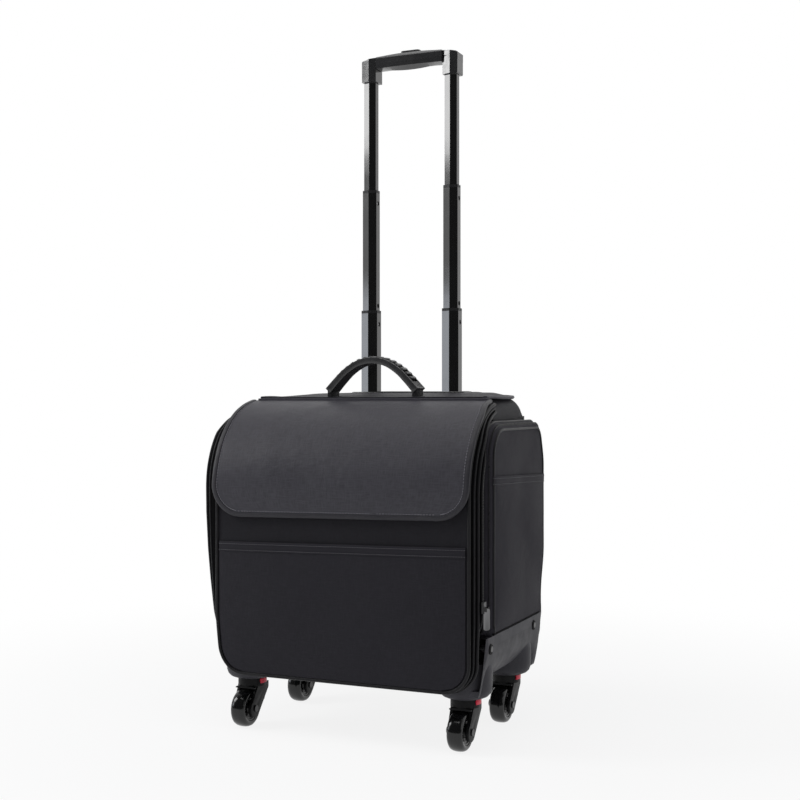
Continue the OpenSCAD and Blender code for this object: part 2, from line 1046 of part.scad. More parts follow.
module hub(i) {
    color("#232427")
        at_corner(i)
            translate([0, -trail, wheel_d / 2])
                rotate([0, 90, 0])
                    difference() {
                        union() {
                            cylinder(d = wheel_d - 16.2, h = wheel_w - 2, center = true);
                            cylinder(d = axle_d + 6, h = wheel_w + 1, center = true);
                        }
                        for (s = [-1, 1])
                            translate([0, 0, s * (wheel_w / 2 - 1)])
                                difference() {
                                    cylinder(d = wheel_d - 22, h = 5, center = true);
                                    cylinder(d = axle_d + 9, h = 6, center = true);
                                }
                        cylinder(d = axle_d + 0.1, h = 60, center = true);
                    }
}

module tyre(i) {
    color("#111214")
        at_corner(i)
            translate([0, -trail, wheel_d / 2])
                rotate([0, 90, 0])
                    rotate_extrude($fn = 96)
                        intersection() {
                            tall_rect(0, wheel_d / 2, -wheel_w / 2, wheel_w / 2, 6, 6);
                            translate([wheel_d / 2 - 8, -wheel_w])
                                square([9, 2 * wheel_w]);
                        }
}

module tab(i) {
    color("#c8283c")
        at_corner(i)
            translate([neck_d / 2 - 5.8, -4, neck_low + 4.4])
                cube([7.2, 8, 6]);
}

module fork_fl() { fork(0); }
module axle_fl() { axle(0); }
module hub_fl() { hub(0); }
module tyre_fl() { tyre(0); }
module tab_fl() { tab(0); }
module fork_fr() { fork(1); }
module axle_fr() { axle(1); }
module hub_fr() { hub(1); }
module tyre_fr() { tyre(1); }
module tab_fr() { tab(1); }
module fork_rl() { fork(2); }
module axle_rl() { axle(2); }
module hub_rl() { hub(2); }
module tyre_rl() { tyre(2); }
module tab_rl() { tab(2); }
module fork_rr() { fork(3); }
module axle_rr() { axle(3); }
module hub_rr() { hub(3); }
module tyre_rr() { tyre(3); }
module tab_rr() { tab(3); }

back_panel();
side_panel_left();
side_panel_right();
bottom_tray();
base_board();
top_panel();
base_runner_left();
base_runner_right();
base_screws();
side_pouch_left();
side_pouch_right();
pouch_slips();
zip_chain();
outer_tubes();
tube_bezel();
tube_foot();
back_lining();
caster_pins();
flap();
flap_hook_strip();
front_door();
front_slip();
carry_grip();
carry_webbing();
stage1_tubes();
stage1_guides();
stage1_bolts();
stage2_tubes();
stage2_guides();
stage2_bolts();
stage3_tubes();
stage3_plugs();
stage3_bolts();
grip_lower();
grip_upper();
release_button();
push_rods();
button_spring();
zip_slider();
zip_pull();
fork_fl();
axle_fl();
hub_fl();
tyre_fl();
tab_fl();
fork_fr();
axle_fr();
hub_fr();
tyre_fr();
tab_fr();
fork_rl();
axle_rl();
hub_rl();
tyre_rl();
tab_rl();
fork_rr();
axle_rr();
hub_rr();
tyre_rr();
tab_rr();
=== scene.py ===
"""Rolling makeup case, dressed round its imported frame. Sizes are millimetres until a mesh is made."""
import json
import math

import bpy
from mathutils import Matrix, Vector, noise


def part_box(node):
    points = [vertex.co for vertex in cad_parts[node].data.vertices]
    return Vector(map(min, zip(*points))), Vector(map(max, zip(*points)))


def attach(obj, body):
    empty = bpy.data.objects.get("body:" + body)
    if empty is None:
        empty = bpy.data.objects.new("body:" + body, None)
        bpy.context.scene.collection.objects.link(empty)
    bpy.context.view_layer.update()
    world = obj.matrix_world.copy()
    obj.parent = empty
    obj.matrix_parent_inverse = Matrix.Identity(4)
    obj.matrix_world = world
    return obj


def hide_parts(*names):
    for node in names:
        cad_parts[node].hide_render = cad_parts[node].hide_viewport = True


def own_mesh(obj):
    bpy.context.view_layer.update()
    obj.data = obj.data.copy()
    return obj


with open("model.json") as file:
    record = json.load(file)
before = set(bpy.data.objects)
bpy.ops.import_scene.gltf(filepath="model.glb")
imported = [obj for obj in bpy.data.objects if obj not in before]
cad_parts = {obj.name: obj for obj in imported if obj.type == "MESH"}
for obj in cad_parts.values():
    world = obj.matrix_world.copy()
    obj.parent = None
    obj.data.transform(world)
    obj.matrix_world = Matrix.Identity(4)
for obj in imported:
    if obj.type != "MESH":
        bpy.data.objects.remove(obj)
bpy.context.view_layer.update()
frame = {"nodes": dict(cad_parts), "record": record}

MM = 0.001
# Half width of the case, its front and back faces, its underside, its top at the seam and the seam
HALF_W, FRONT_Y, BACK_Y = 176.0, -130.0, 134.0
BASE_Z, TOP_Z, SEAM_Y = 79.0, 440.0, -34.0
# How much the top rises from the seam to the back
TOP_RISE = 8.0
TOP_SLOPE = TOP_RISE / (BACK_Y - SEAM_Y)
# Middle of the round shoulder seen from the side, and the radii of what goes round it
ARC_Y, ARC_Z = -14.0, 320.0
FLAP_R, DOOR_R, SIDE_R, ZIP_R = 121.4, 116.0, 107.7, 102.2
# Lower edge of the flap, hem of the front pocket and radius of the lower corners
LIP_Z, HEM_Z, CORNER_R = 287.0, 252.0, 35.0
# Top of the runners, and the front end, back end and top of the side pouches
RUNNER_TOP = 145.0
POUCH_Y0, POUCH_Y1, POUCH_TOP = -98.7, 113.3, 413.0
# Thickness of a padded wall of the case and of plain sewn cloth
WALL_T, CLOTH_T = 5.4, 1.2
# Points of a mesh that lie closer than this are merged, in metres
MERGE = 0.00001
SIDES = ((-1, "left"), (1, "right"))
# Steps along piping, hems and tapes, and from one zip tooth to the next
CORD_STEP, TOOTH_STEP = 4.0, 1.9
# Turns through a rounded corner
QUARTER = [i * math.pi / 24 for i in range(13)]


# Selection and small helpers

def edit_mode():
    bpy.ops.object.mode_set(mode="EDIT")


def object_mode():
    bpy.ops.object.mode_set(mode="OBJECT")


def clear_selection():
    if bpy.context.object and bpy.context.object.mode != "OBJECT":
        object_mode()
    bpy.ops.object.select_all(action="DESELECT")


def make_active(ob):
    clear_selection()
    ob.select_set(True)
    bpy.context.view_layer.objects.active = ob


def add_modifier(ob, kind, **settings):
    """Adds a modifier, sets it and applies it."""
    make_active(ob)
    mod = ob.modifiers.new(kind.title(), kind)
    for key, value in settings.items():
        setattr(mod, key, value)
    bpy.ops.object.modifier_apply(modifier=mod.name)


def smooth(ob, degrees=35):
    make_active(ob)
    bpy.ops.object.shade_smooth_by_angle(angle=math.radians(degrees))


def outward(ob):
    """Turns every face of a closed piece to the outside."""
    make_active(ob)
    edit_mode()
    bpy.ops.mesh.select_all(action="SELECT")
    bpy.ops.mesh.normals_make_consistent(inside=False)
    object_mode()


def dress(ob, material, body, slot, *nodes):
    """Gives a finished piece its material, its body and the nodes it stands for."""
    ob.data.materials.clear()
    ob.data.materials.append(material)
    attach(ob, body)
    if nodes:
        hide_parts(*nodes)
    return ob


def node_box(name):
    """Lowest and highest corner of a node, in millimetres."""
    low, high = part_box(name)
    return Vector(low) / MM, Vector(high) / MM


def step(low, high, x):
    """Smooth rise from 0 at low to 1 at high."""
    t = min(1.0, max(0.0, (x - low) / (high - low)))
    return t * t * (3 - 2 * t)


def ripple(x, y, z, size, seed=0.0):
    """Smooth noise from -1 to 1 with the given size of wave in millimetres."""
    return noise.noise(Vector((x / size + seed, y / size - seed, z / size + 2 * seed)))


def even(u, edge):
    """Spreads grid lines from -1 to 1, closer near the two ends when edge is over 0."""
    return (1 - edge) * u + edge * math.sin(u * math.pi / 2)


def cloth_grid(name, across, along, place, uv, edge=0.0, flip=False):
    """A grid whose points are put by place(u, v) and whose weave lies by uv(u, v).

    u goes from -1 to 1 and v from 0 to 1."""
    clear_selection()
    bpy.ops.mesh.primitive_grid_add(x_subdivisions=across, y_subdivisions=along, size=2, calc_uvs=True)
    ob = bpy.context.object
    ob.name = name
    ob.data.name = name
    layer = ob.data.uv_layers.active
    layer.name = "cloth"
    where = {}
    for vert in ob.data.vertices:
        where[vert.index] = (even(vert.co.x, edge), 0.5 + 0.5 * even(vert.co.y, edge))
    for loop in ob.data.loops:
        a, b = uv(*where[loop.vertex_index])
        layer.data[loop.index].uv = (a * MM, b * MM)
    for vert in ob.data.vertices:
        vert.co = Vector(place(*where[vert.index])) * MM
    ob.data.update()
    if flip:
        make_active(ob)
        edit_mode()
        bpy.ops.mesh.select_all(action="SELECT")
        bpy.ops.mesh.flip_normals()
        object_mode()
    return ob


def thicken(ob, thickness):
    add_modifier(ob, "SOLIDIFY", thickness=thickness * MM, offset=-1.0, use_even_offset=False)


def sew(ob, thickness, degrees, material, body, slot, *nodes):
    """Gives a panel of cloth its thickness, its shading and its material."""
    thicken(ob, thickness)
    smooth(ob, degrees)
    return dress(ob, material, body, slot, *nodes)


FILL_FRAMES, FILL_PRESSURE, FILL_MASS, FILL_QUALITY = 20, 2.0, 0.3, 5
# Keeps a division by a length from failing
TINY = 1e-9


def fill_out(ob, most, loose=None):
    """Fills a sewn panel out between its seams by a short cloth run, by at most so many millimetres.

    Its border is held, and so is every point that isn't loose."""
    uses = {}
    for face in ob.data.polygons:
        for key in face.edge_keys:
            uses[key] = uses.get(key, 0) + 1
    border = {i for key, count in uses.items() if count == 1 for i in key}
    group = ob.vertex_groups.new(name="held")
    group.add([vert.index for vert in ob.data.vertices
               if vert.index in border or (loose and not loose(*(vert.co / MM)))], 1.0, "REPLACE")
    sewn = [vert.co.copy() for vert in ob.data.vertices]
    make_active(ob)
    cloth = ob.modifiers.new("Fill", "CLOTH")
    cloth.settings.quality = FILL_QUALITY
    cloth.settings.mass = FILL_MASS
    cloth.settings.use_pressure = True
    cloth.settings.uniform_pressure_force = FILL_PRESSURE
    cloth.settings.vertex_group_mass = "held"
    cloth.settings.effector_weights.gravity = 0.0
    cloth.collision_settings.use_collision = False
    cloth.point_cache.frame_start, cloth.point_cache.frame_end = 1, FILL_FRAMES
    for at in range(1, FILL_FRAMES + 1):
        bpy.context.scene.frame_set(at)
    filled = ob.evaluated_get(bpy.context.evaluated_depsgraph_get())
    moves = [vert.co - old for vert, old in zip(filled.data.vertices, sewn)]
    share = min(1.0, most * MM / max(TINY, max(move.length for move in moves)))
    ob.modifiers.remove(cloth)
    ob.vertex_groups.remove(group)
    bpy.context.scene.frame_set(1)
    for vert, old, move in zip(ob.data.vertices, sewn, moves):
        vert.co = old + move * share
    ob.data.update()


def mesh_piece(name, verts, faces):
    mesh = bpy.data.meshes.new(name)
    mesh.from_pydata(verts, [], faces)
    ob = bpy.data.objects.new(name, mesh)
    bpy.context.collection.objects.link(ob)
    return ob


def joined(name, pieces):
    clear_selection()
    for piece in pieces:
        piece.select_set(True)
    bpy.context.view_layer.objects.active = pieces[0]
    bpy.ops.object.join()
    pieces[0].name = name
    return pieces[0]


# Paths, and what is sewn along them

def path_frames(points, up):
    """For each point of a path: the point, the way along it, the up side and the way across."""
    frames = []
    for i, p in enumerate(points):
        a, b = points[max(0, i - 1)], points[min(len(points) - 1, i + 1)]
        ahead = (Vector(b) - Vector(a)).normalized()
        rise = Vector(up(i)) if callable(up) else Vector(up)
        across = ahead.cross(rise).normalized()
        rise = across.cross(ahead).normalized()
        frames.append((Vector(p), ahead, rise, across))
    return frames


def run_section(name, frames, section):
    """Sweeps a closed section of (across, up) points along the frames of a path and caps both ends."""
    count, last = len(section), len(frames) - 1
    verts = [Vector(p + across * a + rise * b) * MM for p, _, rise, across in frames for a, b in section]
    faces = []
    for i in range(last):
        for j in range(count):
            k = (j + 1) % count
            faces.append((i * count + j, i * count + k, (i + 1) * count + k, (i + 1) * count + j))
    faces.append(tuple(range(count - 1, -1, -1)))
    faces.append(tuple(last * count + j for j in range(count)))
    ob = mesh_piece(name, verts, faces)
    outward(ob)
    return ob


def steady_steps(points, spacing):
    """Places a steady distance apart along a path, each as a segment and a share of that segment."""
    lengths = [0.0]
    for a, b in zip(points, points[1:]):
        lengths.append(lengths[-1] + (b - a).length)
    count = max(2, int(round(lengths[-1] / spacing)))
    places, i = [], 0
    for k in range(count + 1):
        want = lengths[-1] * k / count
        while i < len(lengths) - 2 and lengths[i + 1] < want:
            i += 1
        places.append((i, min(1.0, (want - lengths[i]) / max(TINY, lengths[i + 1] - lengths[i]))))
    return places


def even_points(points, spacing):
    """Walks along a path and returns points a steady distance apart."""
    points = [Vector(p) for p in points]
    return [points[i].lerp(points[i + 1], t) for i, t in steady_steps(points, spacing)]


# Step in u and v over which the slope of a panel is taken
SLOPE_STEP = 0.002


def walk(params, place, spacing):
    """Frames a steady distance apart along a line of (u, v) on a panel, each with its outward side."""
    placed = [Vector(place(u, v)) for u, v in params]
    points, sides = [], []
    for i, t in steady_steps(placed, spacing):
        u = params[i][0] + t * (params[i + 1][0] - params[i][0])
        v = params[i][1] + t * (params[i + 1][1] - params[i][1])
        du = Vector(place(min(1, u + SLOPE_STEP), v)) - Vector(place(max(-1, u - SLOPE_STEP), v))
        dv = Vector(place(u, min(1, v + SLOPE_STEP))) - Vector(place(u, max(0, v - SLOPE_STEP)))
        points.append(Vector(place(u, v)))
        sides.append(dv.cross(du).normalized())
    return path_frames(points, lambda n: sides[n])


def shifted(frames, over, up):
    return [(p + across * over + rise * up, ahead, rise, across) for p, ahead, rise, across in frames]


def turned_across(frames):
    """The same frames with the way along and the way across changed over, for zip teeth."""
    return [(p, across, rise, ahead) for p, ahead, rise, across in frames]


RING_SIDES = 10


def ring(radius):
    angles = [2 * math.pi * i / RING_SIDES for i in range(RING_SIDES)]
    return [(radius * math.cos(a), radius * math.sin(a)) for a in angles]


def trim(name, frames, section, material, body, slot, degrees=50):
    """A bound edge, a hem or a cord of cloth along a path."""
    ob = run_section(name, frames, section)
    smooth(ob, degrees)
    return dress(ob, material, body, slot)


def piping(name, frames, radius, material, body, slot):
    return trim(name, frames, ring(radius), material, body, slot, degrees=60)


BEAD_DEPTH, BEAD_POINT = 0.64, 0.18


def model_bead():
    """One small six-sided bead with drawn-out ends, modelled once for every stitch and zip tooth."""
    clear_selection()
    bpy.ops.mesh.primitive_cylinder_add(vertices=6, radius=0.5, depth=BEAD_DEPTH, end_fill_type="TRIFAN",
                                        rotation=(0, math.pi / 2, 0))
    ob = bpy.context.object
    bpy.ops.object.transform_apply(location=True, rotation=True, scale=True)
    for side in (-1, 1):
        edit_mode()
        bpy.ops.mesh.select_mode(type="VERT")
        bpy.ops.mesh.select_all(action="DESELECT")
        object_mode()
        for vert in ob.data.vertices:
            vert.select = math.hypot(vert.co.y, vert.co.z) < 0.01 and vert.co.x * side > 0
        edit_mode()
        bpy.ops.transform.translate(value=(BEAD_POINT * side, 0, 0))
        object_mode()
    shape = [vert.co.copy() for vert in ob.data.vertices]
    faces = [tuple(face.vertices) for face in ob.data.polygons]
    bpy.data.objects.remove(ob, do_unlink=True)
    return shape, faces


BEAD = model_bead()


def beads(name, frames, size, lift=0.0):
    """A copy of the bead at each frame of a path: a row of stitches or the teeth of a zip."""
    long, wide, tall = size
    shape, faces = BEAD
    verts, polys = [], []
    for p, ahead, rise, across in frames:
        base = len(verts)
        for q in shape:
            place = p + ahead * q.x * long + across * q.y * wide + rise * (q.z * tall + lift)
            verts.append(place * MM)
        polys += [tuple(base + i for i in f) for f in faces]
    ob = mesh_piece(name, verts, polys)
    outward(ob)
    return ob


def neighbours(points, i):
    """The four points round the segment that starts at point i."""
    return [points[max(0, min(len(points) - 1, i + k))] for k in (-1, 0, 1, 2)]


def curve_at(four, f):
    """Point of the smooth curve through four points, at a share f from the second to the third."""
    return tuple(0.5 * (2 * b + (c - a) * f + (2 * a - 5 * b + 4 * c - d) * f * f
                        + (3 * b - a - 3 * c + d) * f ** 3) for a, b, c, d in zip(*four))


# Materials

def new_material(name):
    material = bpy.data.materials.new(name)
    material.use_nodes = True
    tree = material.node_tree
    return material, tree, tree.nodes["Principled BSDF"]


def node(tree, kind, inputs=None, **settings):
    """Adds a node. An input is a number, a colour or the socket of another node."""
    made = tree.nodes.new(kind)
    for key, value in settings.items():
        setattr(made, key, value)
    for key, value in (inputs or {}).items():
        if isinstance(value, bpy.types.NodeSocket):
            tree.links.new(value, made.inputs[key])
        else:
            made.inputs[key].default_value = value
    return made


def math_node(tree, operation, a, b=None):
    inputs = {0: a}
    if b is not None:
        inputs[1] = b
    return node(tree, "ShaderNodeMath", inputs, operation=operation).outputs[0]


def colour_mix(tree, factor, a, b):
    return node(tree, "ShaderNodeMix", {0: factor, 6: a, 7: b}, data_type="RGBA").outputs[2]


def noise_at(tree, vector, scale, detail, **more):
    inputs = {"Vector": vector, "Scale": scale, "Detail": detail}
    inputs.update(more)
    return node(tree, "ShaderNodeTexNoise", inputs).outputs["Fac"]


def ranged(tree, value, span, to, **settings):
    """Maps a value from one span of numbers to another."""
    inputs = {"Value": value, "From Min": span[0], "From Max": span[1], "To Min": to[0], "To Max": to[1]}
    return node(tree, "ShaderNodeMapRange", inputs, **settings).outputs[0]


def bumped(tree, height, strength, distance):
    return node(tree, "ShaderNodeBump", {"Height": height, "Strength": strength, "Distance": distance})


def rgb(value, tint):
    return (value * tint[0], value * tint[1], value * tint[2], 1.0)


# Stretch of the thicker yarns along and across the cloth
SLUB_RUNS = ((160.0, 1500.0, 1500.0), (1500.0, 160.0, 700.0))


def nylon(name, tone, tint=(1.02, 1.0, 1.12), pitch=0.9, on_cloth=True, rough=0.62, sheen=0.05, gloss=0.12,
          slub_share=0.6):
    """Woven nylon: crossing threads, thicker yarns, faint creases, lint and a soft sheen."""
    material, tree, shader = new_material(name)
    coords = node(tree, "ShaderNodeTexCoord").outputs["Object"]
    source = node(tree, "ShaderNodeUVMap", uv_map="cloth").outputs[0] if on_cloth else coords
    parts = node(tree, "ShaderNodeSeparateXYZ", {0: source}).outputs
    warp, weft = parts[0], parts[1]
    if not on_cloth:
        warp, weft = math_node(tree, "ADD", parts[0], parts[1]), parts[2]
    waves = 2 * math.pi / (pitch * MM)
    over = math_node(tree, "SINE", math_node(tree, "MULTIPLY", warp, waves))
    under = math_node(tree, "SINE", math_node(tree, "MULTIPLY", weft, waves))
    weave = math_node(tree, "MULTIPLY", over, under)
    crease = noise_at(tree, coords, 14.0, 4.0, Roughness=0.55, Distortion=0.6)
    lint = noise_at(tree, coords, 700.0, 2.0)
    patch = noise_at(tree, coords, 9.0, 5.0)
    base = colour_mix(tree, patch, rgb(tone * 0.72, tint), rgb(tone * 1.28, tint))
    for scale in SLUB_RUNS:
        run = node(tree, "ShaderNodeMapping", {"Vector": source, "Scale": scale}).outputs[0]
        slub = ranged(tree, noise_at(tree, run, 0.45, 2.0), (0.42, 0.72), (0.0, slub_share))
        base = colour_mix(tree, slub, base, rgb(tone * (1.0 + 0.75 * slub_share), tint))
    thread = colour_mix(tree, ranged(tree, weave, (-1.0, 1.0), (0.0, 0.55)), base, rgb(tone * 1.5, tint))
    fleck = ranged(tree, lint, (0.62, 0.8), (0.0, 0.35))
    tree.links.new(colour_mix(tree, fleck, thread, rgb(tone * 2.4, tint)), shader.inputs["Base Color"])
    tree.links.new(ranged(tree, patch, (0.3, 0.7), (rough - 0.06, rough + 0.08)), shader.inputs["Roughness"])
    creased = bumped(tree, crease, 0.28, 0.006)
    woven = bumped(tree, weave, 0.3, 0.00018)
    tree.links.new(creased.outputs[0], woven.inputs["Normal"])
    tree.links.new(woven.outputs[0], shader.inputs["Normal"])
    shader.inputs["Sheen Weight"].default_value = sheen
    shader.inputs["Sheen Roughness"].default_value = 0.45
    shader.inputs["Specular IOR Level"].default_value = gloss
    return material


# The least roughness of a hard finish
LEAST_ROUGH = 0.03


def moulded(name, tone, tint=(1.0, 1.0, 1.05), rough=0.4, grain=0.5, wear=0.25, gloss=0.2):
    """Moulded plastic or rubber: fine spark grain, faint scuffs and lighter worn edges."""
    material, tree, shader = new_material(name)
    coords = node(tree, "ShaderNodeTexCoord").outputs["Object"]
    spark = noise_at(tree, coords, 1500.0, 2.0)
    scuff = noise_at(tree, coords, 55.0, 6.0, Roughness=0.65)
    cloud = noise_at(tree, coords, 12.0, 3.0)
    pointed = node(tree, "ShaderNodeNewGeometry").outputs["Pointiness"]
    edge = ranged(tree, pointed, (0.52, 0.6), (0.0, wear))
    base = colour_mix(tree, cloud, rgb(tone * 0.82, tint), rgb(tone * 1.18, tint))
    bare = rgb(min(1.0, tone * 4 + 0.03), tint)
    worn = colour_mix(tree, math_node(tree, "MULTIPLY", edge, scuff), base, bare)
    tree.links.new(worn, shader.inputs["Base Color"])
    roughness = (max(LEAST_ROUGH, rough - 0.05), rough + 0.1)
    tree.links.new(ranged(tree, scuff, (0.35, 0.7), roughness), shader.inputs["Roughness"])
    tree.links.new(bumped(tree, spark, 0.25 * grain, 0.00012).outputs[0], shader.inputs["Normal"])
    shader.inputs["Specular IOR Level"].default_value = gloss
    return material


METAL_TINT = (1.0, 1.0, 1.02)
# Stretch of the draw lines, which run upright
DRAW_LINES = (900.0, 900.0, 22.5)


def metal(name, tone, rough=0.3, metallic=1.0, gloss=0.5, brush=0.12):
    """Drawn or plated metal: fine draw lines along the piece and faint fingermarks."""
    material, tree, shader = new_material(name)
    coords = node(tree, "ShaderNodeTexCoord").outputs["Object"]
    stretched = node(tree, "ShaderNodeMapping", {"Vector": coords, "Scale": DRAW_LINES}).outputs[0]
    draw = noise_at(tree, stretched, 1.0, 3.0)
    mark = noise_at(tree, coords, 26.0, 5.0, Roughness=0.6)
    base = colour_mix(tree, mark, rgb(tone * 0.85, METAL_TINT), rgb(min(1.0, tone * 1.12), METAL_TINT))
    tree.links.new(base, shader.inputs["Base Color"])
    roughness = (max(LEAST_ROUGH, rough - 0.05), rough + 0.07)
    tree.links.new(ranged(tree, mark, (0.3, 0.7), roughness), shader.inputs["Roughness"])
    tree.links.new(bumped(tree, draw, brush, 0.0001).outputs[0], shader.inputs["Normal"])
    shader.inputs["Metallic"].default_value = metallic
    shader.inputs["Specular IOR Level"].default_value = gloss
    return material


# Blue-black casts of the cloths
CASE_TINT, FRONT_TINT, FLAP_TINT = (1.03, 0.98, 1.2), (1.03, 0.98, 1.22), (1.03, 0.985, 1.2)
POCKET_TINT, POUCH_TINT, GUSSET_TINT = (1.035, 0.98, 1.22), (1.03, 0.98, 1.17), (1.0, 0.99, 1.06)
flap_nylon = nylon("flap nylon", 0.0325, FLAP_TINT, pitch=1.4, rough=0.44, gloss=0.3, slub_share=0.95)
# The front panel's cloth is a darker copy of the pocket's: painted shade of the flap over the panel.
front_nylon = nylon("front nylon flap shade", 0.0118, FRONT_TINT, pitch=1.2, rough=0.58)
pocket_nylon = nylon("pocket nylon", 0.0178, POCKET_TINT, pitch=1.2, rough=0.58)
body_nylon = nylon("body nylon", 0.0118, CASE_TINT, rough=0.6)
# A much darker copy of the body nylon for the front roll and zip strips: painted shade of the recess between
# front and sides.
gusset_shade_nylon = nylon("gusset nylon painted shade", 0.0038, GUSSET_TINT, rough=0.8, sheen=0.0, gloss=0.03)
lid_nylon = nylon("lid nylon", 0.021, CASE_TINT, rough=0.55)
pouch_nylon = nylon("pouch nylon", 0.0275, POUCH_TINT, pitch=1.2, rough=0.6, sheen=0.0, gloss=0.06)
lining_cloth = nylon("lining cloth", 0.03, pitch=0.5, rough=0.7)
binding_cloth = nylon("flap binding", 0.021, FLAP_TINT, pitch=1.4, on_cloth=False, rough=0.42, gloss=0.3)
piping_cloth = nylon("edge piping", 0.0095, pitch=1.4, on_cloth=False, rough=0.42, sheen=0.02, gloss=0.18)
# A lighter copy of the case nylon for the lid binding and seam piping: painted light on edges that lie in
# shade under the lid.
lid_binding_lit_cloth = nylon("lid binding painted light", 0.045, CASE_TINT, pitch=1.4, on_cloth=False, rough=0.5)
tape_cloth = nylon("zip tape", 0.004, pitch=1.6, on_cloth=False, rough=0.75, sheen=0.0, gloss=0.04)
web_cloth = nylon("webbing", 0.012, pitch=1.8, on_cloth=False, rough=0.6)
thread_cloth = nylon("sewing thread", 0.075, pitch=0.5, on_cloth=False, rough=0.45, gloss=0.3)
flap_thread = nylon("flap thread", 0.15, pitch=0.5, on_cloth=False, rough=0.45, gloss=0.3)

RUNNER_TINT, RED, BOARD_TINT = (1.02, 1.0, 1.13), (1.0, 0.03, 0.08), (1.0, 0.9, 0.8)
zip_coil = moulded("zip coil", 0.007, rough=0.32, grain=0.2, wear=0.1, gloss=0.3)
runner_plastic = moulded("runner plastic", 0.053, RUNNER_TINT, rough=0.5, grain=0.8, wear=0.3, gloss=0.14)
caster_plastic = moulded("caster plastic", 0.009, rough=0.42, grain=0.3, wear=0.15, gloss=0.12)
hub_plastic = moulded("hub plastic", 0.006, rough=0.25, grain=0.2, wear=0.15, gloss=0.3)
tyre_rubber = moulded("tyre", 0.005, rough=0.14, grain=0.1, wear=0.05, gloss=0.45)
grip_plastic = moulded("grip plastic", 0.021, rough=0.17, grain=0.3, wear=0.2, gloss=0.85)
grip_rubber = moulded("carry grip rubber", 0.024, rough=0.28, grain=0.6, wear=0.25, gloss=0.6)
# Near-black for the floors and walls of the carry grip's slots: painted shade in the recesses.
slot_shade = moulded("carry grip slot shade", 0.003, rough=0.6, grain=0.3, wear=0.05, gloss=0.05)
guide_plastic = moulded("guide plastic", 0.012, rough=0.4, grain=0.5, wear=0.2)
# Near-black rings round the runner screws: painted shadow of the screw recesses.
ring_shade = moulded("screw ring painted shade", 0.004, rough=0.5, grain=0.2, wear=0.05, gloss=0.1)
tab_red = moulded("release tab red", 0.8, RED, rough=0.3, grain=0.2, wear=0.05, gloss=0.4)
fibre_board = moulded("fibre board", 0.09, BOARD_TINT, rough=0.75, grain=1.0, wear=0.1)

tube_black = metal("tube gloss black", 0.006, rough=0.1, metallic=0.0, gloss=0.68, brush=0.02)
bright_steel = metal("bright steel", 0.55, rough=0.28)
black_steel = metal("blacked steel", 0.05, rough=0.35)
zip_metal = metal("zip gun metal", 0.19, rough=0.36)
screw_steel = metal("runner screws", 0.13, rough=0.45)

NODE_MATERIALS = {
    "tube_black": tube_black, "steel": bright_steel, "guide_plastic": guide_plastic,
    "grip_plastic": grip_plastic, "zip_metal": zip_metal, "runner_plastic": runner_plastic,
    "caster_plastic": caster_plastic, "hub_plastic": hub_plastic, "tyre": tyre_rubber, "tab_red": tab_red,
    "board": fibre_board, "grip_rubber": grip_rubber, "webbing": web_cloth, "hook_tape": tape_cloth,
    "lining": lining_cloth, "body_nylon": body_nylon, "front_nylon": front_nylon, "flap_nylon": flap_nylon,
    "pouch_nylon": pouch_nylon, "zip_tape": tape_cloth,
}
for part in frame["record"]["subparts"]:
    shown = frame["nodes"][part["node"]]
    shown.data.materials.clear()
    blacked = part["node"].startswith("axle") or part["node"] == "zip_slider"
    finish = black_steel if blacked else NODE_MATERIALS[part["material_slot"]]
    shown.data.materials.append(screw_steel if part["node"] == "base_screws" else finish)


# Camera, floor and light, in metres

CAMERA_AT, CAMERA_TURN = (0.726, -1.592, 0.440), 23.61
LENS, SENSOR = 57.4, 36.0
WHITE = (1, 1, 1, 1)
# Place, target, width, height, watts and colour of each lamp
LAMPS = {
    "left": ((-2.2, -1.05, 1.2), (0, 0, 0.5), 1.2, 1.6, 8.0, (1.0, 1.0, 1.0)),
    "strip": ((-2.05, -0.98, 1.72), (0, 0, 0.75), 0.75, 0.98, 18.5, (1.0, 1.0, 1.0)),
    "low card": ((-2.05, -0.98, 0.55), (0, 0, 0.45), 0.55, 0.5, 2.8, (0.84, 0.9, 1.0)),
    "top": ((-0.1, -0.6, 2.4), (0, -0.05, 0.4), 1.5, 1.5, 14.0, (1.0, 1.0, 1.0)),
    "right": ((2.3, -0.5, 1.0), (0, 0, 0.35), 1.0, 1.4, 5.0, (1.0, 1.0, 1.0)),
}


def place_camera():
    scene = bpy.context.scene
    clear_selection()
    bpy.ops.object.camera_add(location=CAMERA_AT, rotation=(math.radians(90), 0, math.radians(CAMERA_TURN)))
    camera = bpy.context.object
    camera.data.sensor_width = SENSOR
    camera.data.lens = LENS
    camera.data.clip_end = 50.0
    scene.camera = camera
    scene.view_settings.view_transform = "Standard"


def lay_floor():
    """A pale floor that shows white away from the object and keeps its shadow."""
    bpy.ops.mesh.primitive_plane_add(size=12, location=(0, 0, 0))
    floor = bpy.context.object
    floor.name = "floor"
    material, tree, shader = new_material("pale floor")
    shader.inputs["Base Color"].default_value = (0.93, 0.93, 0.93, 1)
    shader.inputs["Roughness"].default_value = 0.8
    shader.inputs["Specular IOR Level"].default_value = 0.0
    ray = node(tree, "ShaderNodeLightPath").outputs
    glow = node(tree, "ShaderNodeEmission", {"Color": WHITE, "Strength": 1.0})
    seen = math_node(tree, "MAXIMUM", ray["Is Camera Ray"], ray["Is Glossy Ray"])
    where = node(tree, "ShaderNodeTexCoord").outputs["Object"]
    far = node(tree, "ShaderNodeVectorMath", {0: where}, operation="LENGTH").outputs["Value"]
    fade = ranged(tree, far, (0.3, 1.2), (0.86, 1.0), interpolation_type="SMOOTHSTEP")
    share = math_node(tree, "MULTIPLY", seen, fade)
    mix = node(tree, "ShaderNodeMixShader", {0: share, 1: shader.outputs[0], 2: glow.outputs[0]})
    tree.links.new(mix.outputs[0], tree.nodes["Material Output"].inputs["Surface"])
    floor.data.materials.append(material)


